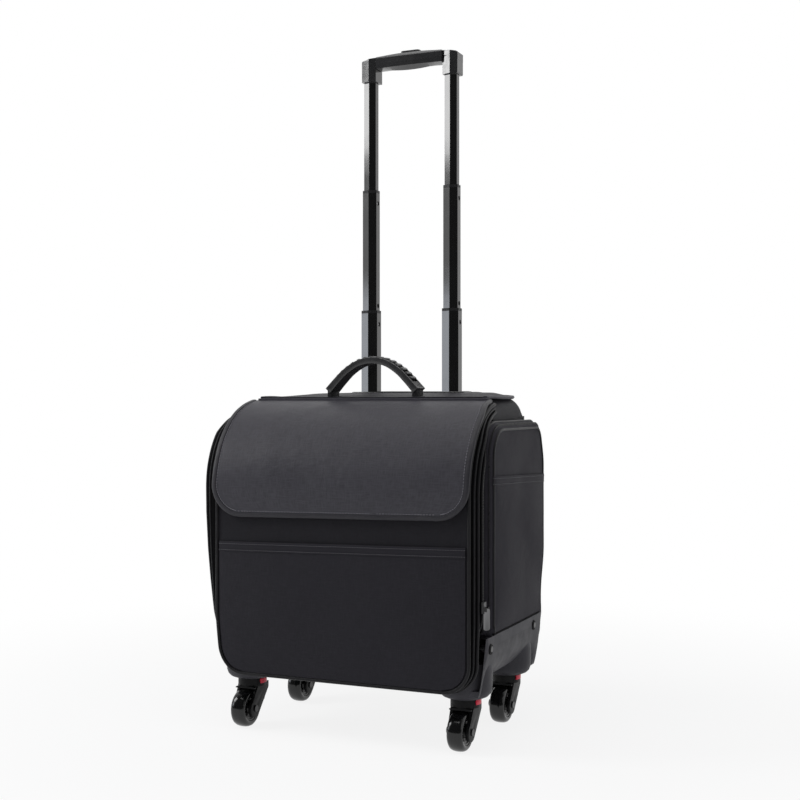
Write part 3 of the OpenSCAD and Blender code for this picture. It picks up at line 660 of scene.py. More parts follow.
def light_world():
    """A white background behind the object, darker in reflections from the front, and a dim plain fill."""
    world = bpy.data.worlds.new("studio")
    bpy.context.scene.world = world
    world.use_nodes = True
    tree = world.node_tree
    plain = tree.nodes["Background"]
    plain.inputs["Color"].default_value = (0.93, 0.95, 1.0, 1)
    plain.inputs["Strength"].default_value = 0.25
    white = node(tree, "ShaderNodeBackground", {"Color": WHITE, "Strength": 1.0})
    ray = node(tree, "ShaderNodeLightPath").outputs
    way = node(tree, "ShaderNodeSeparateXYZ", {0: node(tree, "ShaderNodeTexCoord").outputs["Generated"]})
    behind = ranged(tree, way.outputs[1], (-0.3, 0.35), (0.07, 1.0), interpolation_type="SMOOTHSTEP")
    straight = math_node(tree, "MAXIMUM", ray["Is Camera Ray"], ray["Is Transmission Ray"])
    tree.links.new(math_node(tree, "MAXIMUM", straight, behind), white.inputs["Strength"])
    seen = math_node(tree, "MAXIMUM", straight, ray["Is Glossy Ray"])
    mix = node(tree, "ShaderNodeMixShader", {0: seen, 1: plain.outputs[0], 2: white.outputs[0]})
    tree.links.new(mix.outputs[0], tree.nodes["World Output"].inputs["Surface"])


def hang_lamps():
    for name, (place, target, wide, tall, watts, colour) in LAMPS.items():
        bpy.ops.object.light_add(type="AREA", location=place)
        lamp = bpy.context.object
        lamp.name = name + " lamp"
        lamp.data.shape = "RECTANGLE"
        lamp.data.size = wide
        lamp.data.size_y = tall
        lamp.data.energy = watts
        lamp.data.color = colour
        lamp.rotation_euler = (Vector(target) - Vector(place)).to_track_quat("-Z", "Y").to_euler()


place_camera()
lay_floor()
light_world()
hang_lamps()


# Shapes shared by the flap, the door and the zip

def shoulder(s, r):
    """Point (y, z) and outward side (y, z) at a length s down from the seam on the arc of radius r."""
    start = math.asin((ARC_Y - SEAM_Y) / r)
    arc = r * (math.pi / 2 - start)
    if s < arc:
        a = start + s / r
        return ARC_Y - r * math.sin(a), ARC_Z + r * math.cos(a), -math.sin(a), math.cos(a)
    return ARC_Y - r, ARC_Z - (s - arc), -1.0, 0.0


def drop_length(r, z):
    return r * (math.pi / 2 - math.asin((ARC_Y - SEAM_Y) / r)) + ARC_Z - z


def corner_half(half, r, left):
    """Half width of an outline whose lower corner has radius r, at a height left above its lower edge."""
    if left >= r:
        return half
    return half - r + math.sqrt(max(0.0, r * r - (r - left) ** 2))


def line(a, b, count):
    return [(a[0] + (b[0] - a[0]) * i / count, a[1] + (b[1] - a[1]) * i / count) for i in range(count + 1)]


# How far the left edge of the front draws in at the bottom
LEAN = 5.5


def lean(x, z):
    """The left edge of the soft front draws in a little towards the bottom."""
    return LEAN * (1 - step(85, 165, z)) * max(0.0, -x) / HALF_W


def between(table, at):
    """Straight-line reading of a table of (place, value) pairs."""
    for (a, p), (b, q) in zip(table, table[1:]):
        if at <= b:
            return p + (q - p) * max(0.0, at - a) / (b - a)
    return table[-1][1]


# Flap

FLAP_LEN = drop_length(FLAP_R, LIP_Z)
FLAP_T, FLAP_CORNER_R = 2.8, 42.0
# The lip rises by twice this towards its right end
FLAP_TILT = 2.4
# Half width at the seam, and what it gains over the shoulder
FLAP_LEFT, FLAP_RIGHT = (180.0, 3.0), (174.0, 6.0)
# Points on each edge of the flap before the edge is walked
EDGE_POINTS = 90


def flap_point(u, v):
    s = v * (FLAP_LEN - FLAP_TILT * (1 + u))
    y, z, ny, nz = shoulder(s, FLAP_R)
    half, gain = FLAP_RIGHT if u > 0 else FLAP_LEFT
    x = u * corner_half(half + gain * step(0, 60, s), FLAP_CORNER_R, (1 - v) * FLAP_LEN)
    puff = 1.1 * (1 - u ** 6) * math.sin(math.pi * min(1.0, v * 1.02))
    wave = 0.9 * ripple(x, s, 3, 70, 1.7) + 0.35 * ripple(x, s, 9, 24, 4.1)
    flare = 1.2 * step(0.55, 1.0, v) * (0.5 + 0.5 * math.sin(x / 31.0 + 0.8)) * step(0.2, 0.9, abs(u))
    out = puff + wave * step(0.0, 0.15, v) + flare
    return x, y + ny * out, z + nz * out


flap = cloth_grid("flap_cloth", 84, 60, flap_point, lambda u, v: (u * 178, v * FLAP_LEN), flip=True)
sew(flap, FLAP_T, 40, flap_nylon, "flap_cover", "flap_nylon", "flap")


def flap_border(start, spacing):
    """Frames down the left edge of the flap from a share of its length, along its lip and up the right."""
    way = line((-1, start), (-1, 1), EDGE_POINTS) + line((-1, 1), (1, 1), EDGE_POINTS)
    return walk(way + line((1, 1), (1, start), EDGE_POINTS), flap_point, spacing)


BINDING = [(-5.2, 0.0), (-4.9, 0.8), (-2.5, 1.05), (0.1, 0.95), (1.0, 0.2), (1.25, -1.4), (1.0, -3.0),
           (0.0, -3.6), (-4.9, -3.4), (-5.2, -2.8)]
trim("flap_binding", flap_border(0.0, 3.0), BINDING, binding_cloth, "flap_cover", "flap_nylon")
thread = beads("flap_stitches", shifted(flap_border(0.02, 4.0), -6.6, 0.15), (2.7, 1.0, 0.8))
dress(thread, flap_thread, "flap_cover", "flap_nylon")

hook_low, hook_high = node_box("flap_hook_strip")


def hook_point(u, v):
    x = 0.5 * (hook_low.x + hook_high.x) + u * 0.5 * (hook_high.x - hook_low.x)
    z = hook_high.z + v * (hook_low.z - hook_high.z)
    return x, hook_low.y + 0.25 * ripple(x, 0, z, 3), z


hook = cloth_grid("flap_hook_tape", 60, 12, hook_point, lambda u, v: (u * 60, v * 20), flip=True)
thicken(hook, CLOTH_T)
dress(hook, tape_cloth, "flap_cover", "hook_tape", "flap_hook_strip")

# Front door with its slip pocket

DOOR_LEN = drop_length(DOOR_R, BASE_Z)
DOOR_HALF, DOOR_T = 177.0, 7.4


def door_out(x, z, u):
    low = step(0, 45, 286 - z) * step(0, 40, z - BASE_Z)
    return 2.3 * (1 - u ** 8) * low + 0.45 * ripple(x, 5, z, 60, 2.2) * low


def door_point(u, v):
    s = v * DOOR_LEN
    y, z, ny, nz = shoulder(s, DOOR_R)
    x = u * corner_half(DOOR_HALF, CORNER_R, (1 - v) * DOOR_LEN)
    out = door_out(x, z, u)
    return x + lean(x, z), y + ny * out, z + nz * out


door = cloth_grid("front_panel", 64, 84, door_point, lambda u, v: (u * 176, v * DOOR_LEN), flip=True)
sew(door, DOOR_T, 40, front_nylon, "door", "front_nylon", "front_door")

POCKET_LOW = BASE_Z + 2.5
POCKET_HALF = 174.6
# The hem rises by twice this towards its right end
POCKET_TILT = 3.3
POCKET_HEM = [(-0.4, 0.0), (-0.4, 0.75), (0.8, 0.95), (12.0, 0.75), (12.6, 0.1), (12.6, -0.4), (-0.4, -1.5)]


def pocket_point(u, v):
    z = HEM_Z + POCKET_TILT * (1 + u) + v * (POCKET_LOW - HEM_Z - POCKET_TILT * (1 + u))
    half = corner_half(POCKET_HALF, CORNER_R - 2, z - POCKET_LOW)
    x = u * half
    slack = 1.7 * (1 - u * u) * step(0.75, 0.0, v) + 0.5 * ripple(x, 2, z, 55, 6.3) * (1 - u ** 4)
    y = FRONT_Y - door_out(x, z, x / DOOR_HALF) - 1.5 - slack
    return x + lean(x, z), y, z


pocket = cloth_grid("front_pocket", 72, 44, pocket_point, lambda u, v: (u * 174, v * 170), flip=True)
fill_out(pocket, 2.0)
sew(pocket, CLOTH_T, 40, pocket_nylon, "door", "front_nylon", "front_slip")
hem_line = walk(line((-0.999, 0.0), (0.999, 0.0), 100), pocket_point, 4.0)
trim("pocket_hem", hem_line, POCKET_HEM, pocket_nylon, "door", "front_nylon")
for name, over in (("pocket_stitches_high", 2.6), ("pocket_stitches_low", 10.6)):
    row = walk(line((-0.995, 0.0), (0.995, 0.0), 100), pocket_point, 3.4)
    dress(beads(name, shifted(row, over, 0.95), (2.6, 0.75, 0.6)), thread_cloth, "door", "front_nylon")


# Edge piping round the front and the zip on each side

FRONT_POINTS = 60


def front_path(r, half, top):
    """Line down the left side of the front, round the bottom corners and up the right side."""
    straight = drop_length(r, BASE_Z) - CORNER_R - top
    down = []
    for i in range(FRONT_POINTS + 1):
        y, z, _, _ = shoulder(top + straight * i / FRONT_POINTS, r)
        down.append((half, y, z))
    y = down[-1][1]
    turn = [(half - CORNER_R + CORNER_R * math.cos(a), y, BASE_Z + CORNER_R - CORNER_R * math.sin(a))
            for a in QUARTER[1:]]
    right = down + turn
    left = [(lean(-x, z) - x, yy, z) for x, yy, z in right]
    return left + right[::-1]


front_edge = path_frames(even_points(front_path(116.2, 179.0, 2.0), CORD_STEP), (0.0, -0.83, 0.0301))
piping("front_piping", front_edge, 2.3, piping_cloth, "door", "front_nylon")
GUSSET_OUT, GUSSET_LOW = 14.0, RUNNER_TOP + 2.0
# Below the first height and above the second the gusset rounds in, each on its own radius
SWELL_LOW_Z, SWELL_LOW_R = 178.0, 60.0
SWELL_HIGH_Z, SWELL_HIGH_R = 356.0, 90.0


def swell(z):
    """How far the zip gusset stands out from the side at a height z."""
    if z < SWELL_LOW_Z:
        off, r = SWELL_LOW_Z - z, SWELL_LOW_R
    elif z > SWELL_HIGH_Z:
        off, r = z - SWELL_HIGH_Z, SWELL_HIGH_R
    else:
        return GUSSET_OUT
    return max(0.0, GUSSET_OUT - r + math.sqrt(max(0.0, r * r - off ** 2)))


# Sections of the roll and of the zip strip, as a shoulder radius and how far it stands out
ROLL = [(113.4, 1.0), (113.2, 3.5), (112.0, 6.6), (110.6, 7.8), (109.4, 7.6), (108.4, 8.8), (107.2, 10.6),
        (106.0, 11.2), (104.8, 10.4), (104.0, 8.4), (103.6, 5.0), (103.4, 0.4)]
STRIP = [(104.4, 11.5), (103.0, 13.2), (101.0, 13.8), (98.0, 14.0), (95.6, 13.8), (94.1, 12.0), (93.4, 8.0),
         (93.2, 0.4)]
ROLL_TURN = 107.0
# Half the bottom, a corner, a straight side and the part of the shoulder that the roll covers
ROLL_PARTS = (HALF_W - CORNER_R, CORNER_R * math.pi / 2, ARC_Z - BASE_Z - CORNER_R,
              math.radians(78) * ROLL_TURN)
ROLL_LEN = sum(ROLL_PARTS)


def on_section(points, t):
    """Radius and swell on a section, smoothly from its front edge at 0 to its back edge at 1."""
    at = t * (len(points) - 1)
    i = min(len(points) - 2, int(at))
    return curve_at(neighbours(points, i), at - i)


# Share of the roll's swell on its left side, by height
LEFT_SWELL = [(79, 0.3), (110, 0.4), (135, 0.7), (155, 1.05), (200, 1.55), (240, 1.9), (290, 2.15),
              (330, 2.2), (365, 2.3), (395, 2.45), (412, 2.1), (430, 1.3)]


def roll_spot(t, r, out):
    """Point of the front roll at a length t from the middle of the bottom, and its outward side."""
    side = -1.0 if t < 0 else 1.0
    left = abs(t)
    if left < ROLL_PARTS[0]:
        z = BASE_Z - 0.15 * out
        return Vector((t + lean(t, z), ARC_Y - r, z)), Vector((0, 0, -1))
    left -= ROLL_PARTS[0]
    if left < ROLL_PARTS[1]:
        a = left / CORNER_R
        fade = 0.7 * (0.45 if side < 0 else 1.0)
        reach = CORNER_R + 0.4 * math.sin(a) + out * (0.15 + fade * step(0, 1, left / ROLL_PARTS[1]))
        x, z = side * (HALF_W - CORNER_R + reach * math.sin(a)), BASE_Z + CORNER_R - reach * math.cos(a)
        return Vector((x + lean(x, z), ARC_Y - r, z)), Vector((side * math.sin(a), 0, -math.cos(a)))
    left -= ROLL_PARTS[1]
    across = Vector((side, 0, 0))
    if left < ROLL_PARTS[2]:
        y, z = ARC_Y - r, BASE_Z + CORNER_R + left
        share = 0.85 + 0.15 * step(0, 60, left)
    else:
        a = (left - ROLL_PARTS[2]) / ROLL_TURN
        y, z = ARC_Y - r * math.cos(a), ARC_Z + r * math.sin(a)
        share = 1 - 0.6 * step(385, 425, z)
    if side < 0:
        share = max(0.46, between(LEFT_SWELL, z))
    x = side * (HALF_W + 0.4 + out * share)
    return Vector((x + lean(x, z), y, z)), across


def roll_place(u, v):
    r, out = on_section(ROLL, 0.5 + 0.5 * u)
    return roll_spot((2 * v - 1) * ROLL_LEN, r, out)[0]


roll = cloth_grid("front_roll", 24, 260, roll_place, lambda u, v: (u * 16, v * 2 * ROLL_LEN))
sew(roll, CLOTH_T, 50, gusset_shade_nylon, "case", "body_nylon")
for name, r, out, thick in (("roll_piping", 106.2, 11.2, 1.8), ("roll_seam_piping", 111.4, 7.6, 1.4)):
    spots = [roll_spot(-ROLL_LEN + 2 * ROLL_LEN * i / 280, r, out) for i in range(281)]
    frames = path_frames([p for p, _ in spots], lambda n: spots[n][1])
    piping(name, frames, thick, piping_cloth, "case", "body_nylon")


def gusset_spot(side, s, r, out):
    """Point of the zip strip at a length s up from the runner and a radius r from the shoulder middle."""
    straight = ARC_Z - GUSSET_LOW
    if s <= straight:
        y, z = ARC_Y - r, GUSSET_LOW + s
    else:
        a = min(math.radians(80), (s - straight) / ROLL_TURN)
        y, z = ARC_Y - r * math.cos(a), ARC_Z + r * math.sin(a)
    return side * (HALF_W + 0.4 + out * swell(z) / GUSSET_OUT), y, z


GUSSET_LEN = ARC_Z - GUSSET_LOW + ROLL_PARTS[3]


def gusset_cloth(side, word):
    def place(u, v):
        r, out = on_section(STRIP, 0.5 + 0.5 * u)
        return gusset_spot(side, v * GUSSET_LEN, r, out)

    ob = cloth_grid("gusset_" + word, 22, 96, place, lambda u, v: (u * 14, v * GUSSET_LEN), flip=side < 0)
    sew(ob, CLOTH_T, 50, gusset_shade_nylon, "case", "body_nylon")


for side, word in SIDES:
    gusset_cloth(side, word)


ZIP_POINTS = 140


def zip_path(side):
    lengths = [3.0 + (GUSSET_LEN - 8.0) * i / ZIP_POINTS for i in range(ZIP_POINTS + 1)]
    return [gusset_spot(side, s, ZIP_R - 2.0, GUSSET_OUT) for s in lengths]


TAPE = [(-4.5, 0.0), (-4.5, 0.7), (-2.6, 1.0), (-2.2, 0.45), (2.2, 0.45), (2.6, 1.0), (4.5, 0.7), (4.5, 0.0)]
tapes, coils = [], []
for side, _ in SIDES:
    frames = path_frames(even_points(zip_path(side), CORD_STEP), (side, 0, 0))
    tapes.append(run_section("zip_tape", frames, TAPE))
    teeth = path_frames(even_points(zip_path(side), TOOTH_STEP), (side, 0, 0))
    coils.append(beads("zip_coil", turned_across(teeth), (3.9, 1.5, 1.3), 0.75))


dress(joined("zip_tapes", tapes), tape_cloth, "case", "zip_tape", "zip_chain")
dress(joined("zip_coils", coils), zip_coil, "case", "zip_tape")


# Case shell: sides, top, back and bottom

def side_place(t):
    """Depth of a line up the side panel and the height of its top, for t from the front to the back."""
    full = math.acos((ARC_Y - SEAM_Y) / SIDE_R)
    if t < 0.45:
        a = full * t / 0.45
        return ARC_Y - SIDE_R * math.cos(a), ARC_Z + SIDE_R * math.sin(a)
    y = SEAM_Y + (t - 0.45) / 0.55 * (BACK_Y - 37.0 - SEAM_Y)
    return y, 411.6 + (y - SEAM_Y) * TOP_SLOPE + 14.0 * step(6, 0, y - SEAM_Y)


SIDE_LOW = BASE_Z + CORNER_R


def side_panel(side, word):
    def place(u, v):
        y, top = side_place(0.5 + 0.5 * u)
        z = SIDE_LOW + v * (top - SIDE_LOW)
        return side * (HALF_W - 0.3 + 0.25 * ripple(7, y, z, 60, 3.0) * (1 - u ** 4)), y, z

    ob = cloth_grid("side_cloth_" + word, 48, 60, place, lambda u, v: (u * 120, v * 310), flip=side < 0)
    sew(ob, WALL_T, 40, body_nylon, "case", "body_nylon", "side_panel_" + word)


for side, word in SIDES:
    side_panel(side, word)

TOP_R = 28.0
BACK_IN = 128.0
BACK_R = 44.0


def plan_half(y):
    """Half width of the top seen from above, round at its two back corners."""
    return corner_half(HALF_W, BACK_R + 14.0, BACK_Y - y)


def top_profile(d):
    """Point (x, z) on the section of the top, at a length d out from the middle."""
    flat = HALF_W - TOP_R
    if abs(d) <= flat:
        return d, 0.0
    a = (abs(d) - flat) / TOP_R
    return math.copysign(flat + TOP_R * math.sin(a), d), TOP_R * (math.cos(a) - 1)


TOP_HALF = HALF_W - TOP_R + TOP_R * math.pi / 2


def top_point(u, v):
    x, drop = top_profile(u * TOP_HALF)
    y = SEAM_Y + 0.6 + v * (BACK_IN - 0.6 - SEAM_Y)
    z = TOP_Z + (y - SEAM_Y) * TOP_SLOPE + drop - 0.2
    z -= 9.0 * step(70, 134, y) * step(110, 176, abs(x))
    return x * plan_half(y) / HALF_W, y, z


def open_for_bezel(ob):
    """Takes out the cloth under the tube bezel."""
    low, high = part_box("tube_bezel")
    make_active(ob)
    edit_mode()
    bpy.ops.mesh.select_all(action="DESELECT")
    object_mode()
    for face in ob.data.polygons:
        c = face.center
        inside = low.x + 0.003 < c.x < high.x - 0.003 and low.y + 0.001 < c.y < high.y - 0.001
        face.select = inside
    edit_mode()
    bpy.ops.mesh.select_mode(type="FACE")
    bpy.ops.mesh.delete(type="FACE")
    object_mode()


top = cloth_grid("top_cloth", 96, 44, top_point, lambda u, v: (u * TOP_HALF, v * 162))
open_for_bezel(top)
sew(top, WALL_T, 40, body_nylon, "case", "body_nylon", "top_panel")

LID_HALF, LID_T = 167.0, 2.4
LID_BINDING = [(4.8, 0.0), (4.6, 0.75), (2.0, 0.95), (-0.3, 0.8), (-1.3, 0.0), (-1.5, -1.2), (-1.2, -2.3),
               (-0.2, -3.0), (4.6, -2.9), (4.8, -2.4)]


def lid_point(u, v):
    y = SEAM_Y + 0.8 + v * (BACK_IN + 2.0 - SEAM_Y)
    half = corner_half(LID_HALF, 66.0, (1 - v) * (BACK_IN + 2.0 - SEAM_Y))
    x = u * half
    z = TOP_Z + (y - SEAM_Y) * TOP_SLOPE + 2.6
    crown = 1.9 * (1 - u * u) * math.sin(math.pi * min(1.0, v * 1.05)) * (1 - v)
    z += crown + 0.35 * ripple(x, y, 1, 45, 8.8)
    droop = max(step(0.80, 1.0, abs(u)), step(0.82, 1.0, v) * step(92, 130, abs(x)))
    return x, y, z + 1.4 - 4.6 * droop * step(0.05, 0.6, v)


lid = cloth_grid("lid_cloth", 96, 46, lid_point, lambda u, v: (u * LID_HALF, v * 162))
open_for_bezel(lid)
sew(lid, LID_T, 40, lid_nylon, "case", "body_nylon")
lid_edge = walk(line((1, 0.0), (1, 1), 60) + line((1, 1), (-1, 1), 60) + line((-1, 1), (-1, 0.0), 60),
                lambda u, v: lid_point(-u, v), 3.0)
lid_edge = path_frames([f[0] for f in lid_edge], (0, 0, 1))
trim("lid_binding", lid_edge, LID_BINDING, lid_binding_lit_cloth, "case", "body_nylon")
seam_ends = [(side * 171, SEAM_Y + 0.4, TOP_Z + 0.6) for side, _ in SIDES]
seam_frames = path_frames(even_points(seam_ends, 6.0), (0, -0.6, 0.8))
# The seam piping takes the lighter lid binding cloth: painted light on a seam in shade.
piping("seam_piping", seam_frames, 1.7, lid_binding_lit_cloth, "case", "body_nylon")


def back_half(z):
    top = TOP_Z + TOP_RISE
    return min(corner_half(HALF_W, CORNER_R, z - BASE_Z), corner_half(HALF_W, TOP_R + 18.0, top - z))


def back_point(u, v):
    flat = HALF_W - BACK_R
    z = BASE_Z + v * (TOP_Z + TOP_RISE - BASE_Z)
    d = u * (flat + BACK_R * math.pi / 2)
    a = max(0.0, (abs(d) - flat) / BACK_R)
    x = math.copysign(min(abs(d), flat) + BACK_R * math.sin(a), d)
    y = BACK_Y - BACK_R * (1 - math.cos(a))
    x *= back_half(z) / HALF_W
    out = 1.6 * (1 - u ** 6) * math.sin(math.pi * v) + 0.6 * ripple(x, 3, z, 70, 5.5)
    y += out * step(0.8, 0.6, abs(u)) * step(0, 0.06, v) * step(1, 0.94, v)
    return x, y - 0.2 - 9.0 * (1 - math.sqrt(1 - step(0.97, 1.0, v) ** 2)), z


back = cloth_grid("back_cloth", 84, 84, back_point, lambda u, v: (u * 198, v * 369), flip=True)
fill_out(back, 3.0, lambda x, y, z: abs(x) < 138 and 100 < z < 420)
sew(back, WALL_T, 40, body_nylon, "case", "body_nylon", "back_panel")
for side, word in SIDES:
    edge = [back_point(side, i / 160) for i in range(6, 155)]
    frames = path_frames(even_points(edge, CORD_STEP), (side, 0.0, 0.0))
    piping("back_piping_" + word, frames, 2.1, piping_cloth, "case", "body_nylon")


BOTTOM_FRONT = -121.5


def bottom_point(u, v):
    flat = HALF_W - CORNER_R
    d = u * (flat + CORNER_R * math.pi / 2)
    y = BOTTOM_FRONT + v * (BACK_IN - BOTTOM_FRONT)
    if abs(d) <= flat:
        return d, y, BASE_Z + 0.2
    a = (abs(d) - flat) / CORNER_R
    r = CORNER_R - 0.2
    return math.copysign(flat + r * math.sin(a), d), y, BASE_Z + CORNER_R - r * math.cos(a)


bottom = cloth_grid("bottom_cloth", 64, 24, bottom_point, lambda u, v: (u * 196, v * 250), flip=True)
sew(bottom, WALL_T, 40, body_nylon, "case", "body_nylon", "bottom_tray")

lining_low, lining_high = node_box("back_lining")


def lining_point(u, v):
    z = lining_low.z + v * (lining_high.z - lining_low.z)
    x = u * min(lining_high.x, corner_half(169.7, CORNER_R - 6.3, z - BASE_Z - 6.3))
    return x, lining_low.y + 0.4 + 0.35 * ripple(x, 0, z, 40, 7.7), z


lining = cloth_grid("back_lining_cloth", 40, 40, lining_point, lambda u, v: (u * 170, v * 320), flip=True)
sew(lining, 1.8, 40, lining_cloth, "case", "lining", "back_lining")

# Side pouches

POUCH_LOW = RUNNER_TOP + 0.4
POUCH_FRONT_R, POUCH_BACK_R = 46.0, 26.0


def pouch_depth(y, z):
    """How far a point of the side view lies in from the outline of the pouch."""
    cy, cz = (POUCH_Y0 + POUCH_Y1) / 2, (POUCH_LOW + POUCH_TOP) / 2
    hy, hz = (POUCH_Y1 - POUCH_Y0) / 2, (POUCH_TOP - POUCH_LOW) / 2
    r = 6.0
    if z > cz:
        r = POUCH_FRONT_R if y < cy else POUCH_BACK_R
    ay, az = abs(y - cy) - hy + r, abs(z - cz) - hz + r
    return r - min(max(ay, az), 0.0) - math.hypot(max(ay, 0.0), max(az, 0.0))


def pouch_out(y, z):
    d = max(0.0, pouch_depth(y, z))
    low = z - POUCH_LOW
    if d >= low - 1e-6 and low < 14:
        d = min(d * 16.0, 14.0) if low < 0.9 else max(d, 14.0)
    wall_round = math.sqrt(max(0.0, 1 - (1 - min(1.0, d / (13.5 - 4.5 * step(-60, 80, y)))) ** 2))
    crown = 1 - (1 - min(1.0, d / 70.0)) ** 2
    full = 4.0 * step(10, 100, y) * step(170, 240, z) * step(405, 350, z)
    return (19.3 + full) * wall_round + 3.2 * crown + 0.5 * ripple(4, y, z, 45, 9.1) * min(1.0, d / 20.0)


def pouch_span(z):
    left = POUCH_TOP - z
    y0 = POUCH_Y0 + POUCH_FRONT_R - corner_half(POUCH_FRONT_R, POUCH_FRONT_R, left)
    y1 = POUCH_Y1 - POUCH_BACK_R + corner_half(POUCH_BACK_R, POUCH_BACK_R, left)
    return y0, y1


def pouch_x(side, y, z, lift=0.0):
    """Where the skin of a pouch lies across the case, lifted by so many millimetres."""
    return side * (HALF_W + 0.2 + pouch_out(y, z) + lift)


def pouch_place(side, u, v):
    z = POUCH_LOW + v * (POUCH_TOP - POUCH_LOW)
    y0, y1 = pouch_span(z)
    y = y0 + (0.5 + 0.5 * u) * (y1 - y0)
    return pouch_x(side, y, z), y, z


def pouch_line(inset):
    """The outline of a pouch in the side view, up the front, over the top and down the back."""
    low = POUCH_LOW + 2
    y0, y1, top = POUCH_Y0 + inset, POUCH_Y1 - inset, POUCH_TOP - inset
    rf, rb = POUCH_FRONT_R - inset, POUCH_BACK_R - inset
    points = [(y0, low), (y0, top - rf)]
    points += [(y0 + rf - rf * math.cos(a), top - rf + rf * math.sin(a)) for a in QUARTER[1:]]
    points += [(y1 - rb + rb * math.sin(a), top - rb + rb * math.cos(a)) for a in QUARTER]
    return points + [(y1, low)]


def pouch_path(side, inset, spacing, lift=0.0):
    flat = even_points([(0, y, z) for y, z in pouch_line(inset)], spacing)
    return [(pouch_x(side, p.y, p.z, lift), p.y, p.z) for p in flat]


SLIP_TOP = 338.0
# The hem of a slip pocket rises by twice this towards the front
SLIP_TILT = 3.2
SLIP_HEM = [(-0.4, -1.0), (-0.4, 0.6), (0.6, 0.8), (11.0, 0.6), (11.6, 0.0), (11.6, -0.6)]
# The two rows of stitches, from the edge of the hem
SLIP_ROWS = (2.4, 9.4)


def make_slip(side, word):
    """The slip pocket on a pouch, with its hem and two rows of stitches."""
    def place(u, v):
        z = POUCH_LOW + 3 + v * (SLIP_TOP + SLIP_TILT * (1 - u) - POUCH_LOW - 3)
        y = 0.5 * (POUCH_Y0 + POUCH_Y1) + u * (0.5 * (POUCH_Y1 - POUCH_Y0) - 9.0)
        slack = 1.1 * (1 - u * u) * step(0.6, 1.0, v)
        return pouch_x(side, y, z, 1.0 + slack), y, z

    slip = cloth_grid("pouch_slip_" + word, 48, 48, place, lambda u, v: (u * 91, v * 196), flip=side < 0)
    fill_out(slip, 2.4)
    sew(slip, 0.9, 40, pouch_nylon, "case", "pouch_nylon", "pouch_slips")
    edge = even_points([place(-1 + 2 * i / 60, 1.0) for i in range(61)], CORD_STEP)
    section = [(side * a, b) for a, b in SLIP_HEM]
    trim("pouch_hem_" + word, path_frames(edge, (side, 0, 0)), section, pouch_nylon, "case", "pouch_nylon")
    row = path_frames(even_points(edge, 3.4), (side, 0, 0))
    for k, over in enumerate(SLIP_ROWS):
        sewn = beads("pouch_stitch_%s_%d" % (word, k), shifted(row, side * over, 0.75), (2.3, 0.5, 0.42))
        dress(sewn, thread_cloth, "case", "pouch_nylon")


def make_pouch(side, word):
    """A pouch on one side, with its slip pocket, piping and zip, and a near-black cord at its foot that
    paints the shadow of the gap above the runner.
    """
    ob = cloth_grid("pouch_" + word, 64, 80, lambda u, v: pouch_place(side, u, v),
                    lambda u, v: (u * 100, v * 268), edge=0.72, flip=side < 0)
    fill_out(ob, 2.0, lambda x, y, z: z > SLIP_TOP + 16 and pouch_depth(y, z) > 16)
    sew(ob, CLOTH_T, 50, pouch_nylon, "case", "pouch_nylon", "side_pouch_" + word)
    make_slip(side, word)
    for name, inset in (("edge", 11.0), ("root", 1.4)):
        frames = path_frames(pouch_path(side, inset, CORD_STEP), (side, 0, 0))
        piping("pouch_piping_%s_%s" % (name, word), frames, 1.7, piping_cloth, "case", "pouch_nylon")
    # A cord in near-black zip tape cloth along the pouch's foot: painted shadow of the gap between pouch and
    # runner.
    foot = []
    for i in range(51):
        y = POUCH_Y0 + 6 + i * (POUCH_Y1 - POUCH_Y0 - 12) / 50
        lift = 0.7 - 1.8 * step(85, 106, y)
        foot.append((pouch_x(side, y, POUCH_LOW + 5, lift), y, POUCH_LOW + 2.8))
    piping("pouch_foot_shadow_cord_" + word, path_frames(foot, (side, 0, 0)), 1.5, tape_cloth, "case", "zip_tape")
    teeth = path_frames(pouch_path(side, 5.0, TOOTH_STEP, 0.3), (side, 0, 0))
    coil = beads("pouch_zip_" + word, turned_across(teeth), (3.6, 1.4, 1.6))
    dress(coil, zip_coil, "case", "zip_tape")


for side, word in SIDES:
    make_pouch(side, word)


# Moulded pieces: edges eased on a copy of the solid

EASE_ANGLE = 30


def eased(node_name, width, material, body, slot, segments=2, reshape=None, cuts=()):
    """A copy of a solid with its edges eased, cut along planes and reshaped where asked."""
    source = frame["nodes"][node_name]
    ob = source.copy()
    ob.data = source.data.copy()
    for key in [k for k in ob.keys() if k.startswith("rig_")]:
        del ob[key]
    ob.parent = None
    bpy.context.collection.objects.link(ob)
    ob.name = node_name + "_shape"
    make_active(ob)
    edit_mode()
    bpy.ops.mesh.select_all(action="SELECT")
    bpy.ops.mesh.remove_doubles(threshold=MERGE)
    bpy.ops.mesh.dissolve_limited(angle_limit=math.radians(1.0))
    for axis, at in cuts:
        place = [0.0, 0.0, 0.0]
        way = [0.0, 0.0, 0.0]
        place[axis], way[axis] = at * MM, 1.0
        bpy.ops.mesh.select_all(action="SELECT")
        bpy.ops.mesh.bisect(plane_co=place, plane_no=way)
    object_mode()
    if reshape:
        for vert in ob.data.vertices:
            vert.co = Vector(reshape(*(vert.co / MM))) * MM
    add_modifier(ob, "BEVEL", width=width * MM, segments=segments, limit_method="ANGLE",
                 angle_limit=math.radians(EASE_ANGLE), use_clamp_overlap=True, harden_normals=False)
    smooth(ob, 40)
    if cuts:
        add_modifier(ob, "WEIGHTED_NORMAL", keep_sharp=True, weight=80)
    return dress(ob, material, body, slot, node_name)


TUBE_X = 63.5
TUBE_Y = 109.0


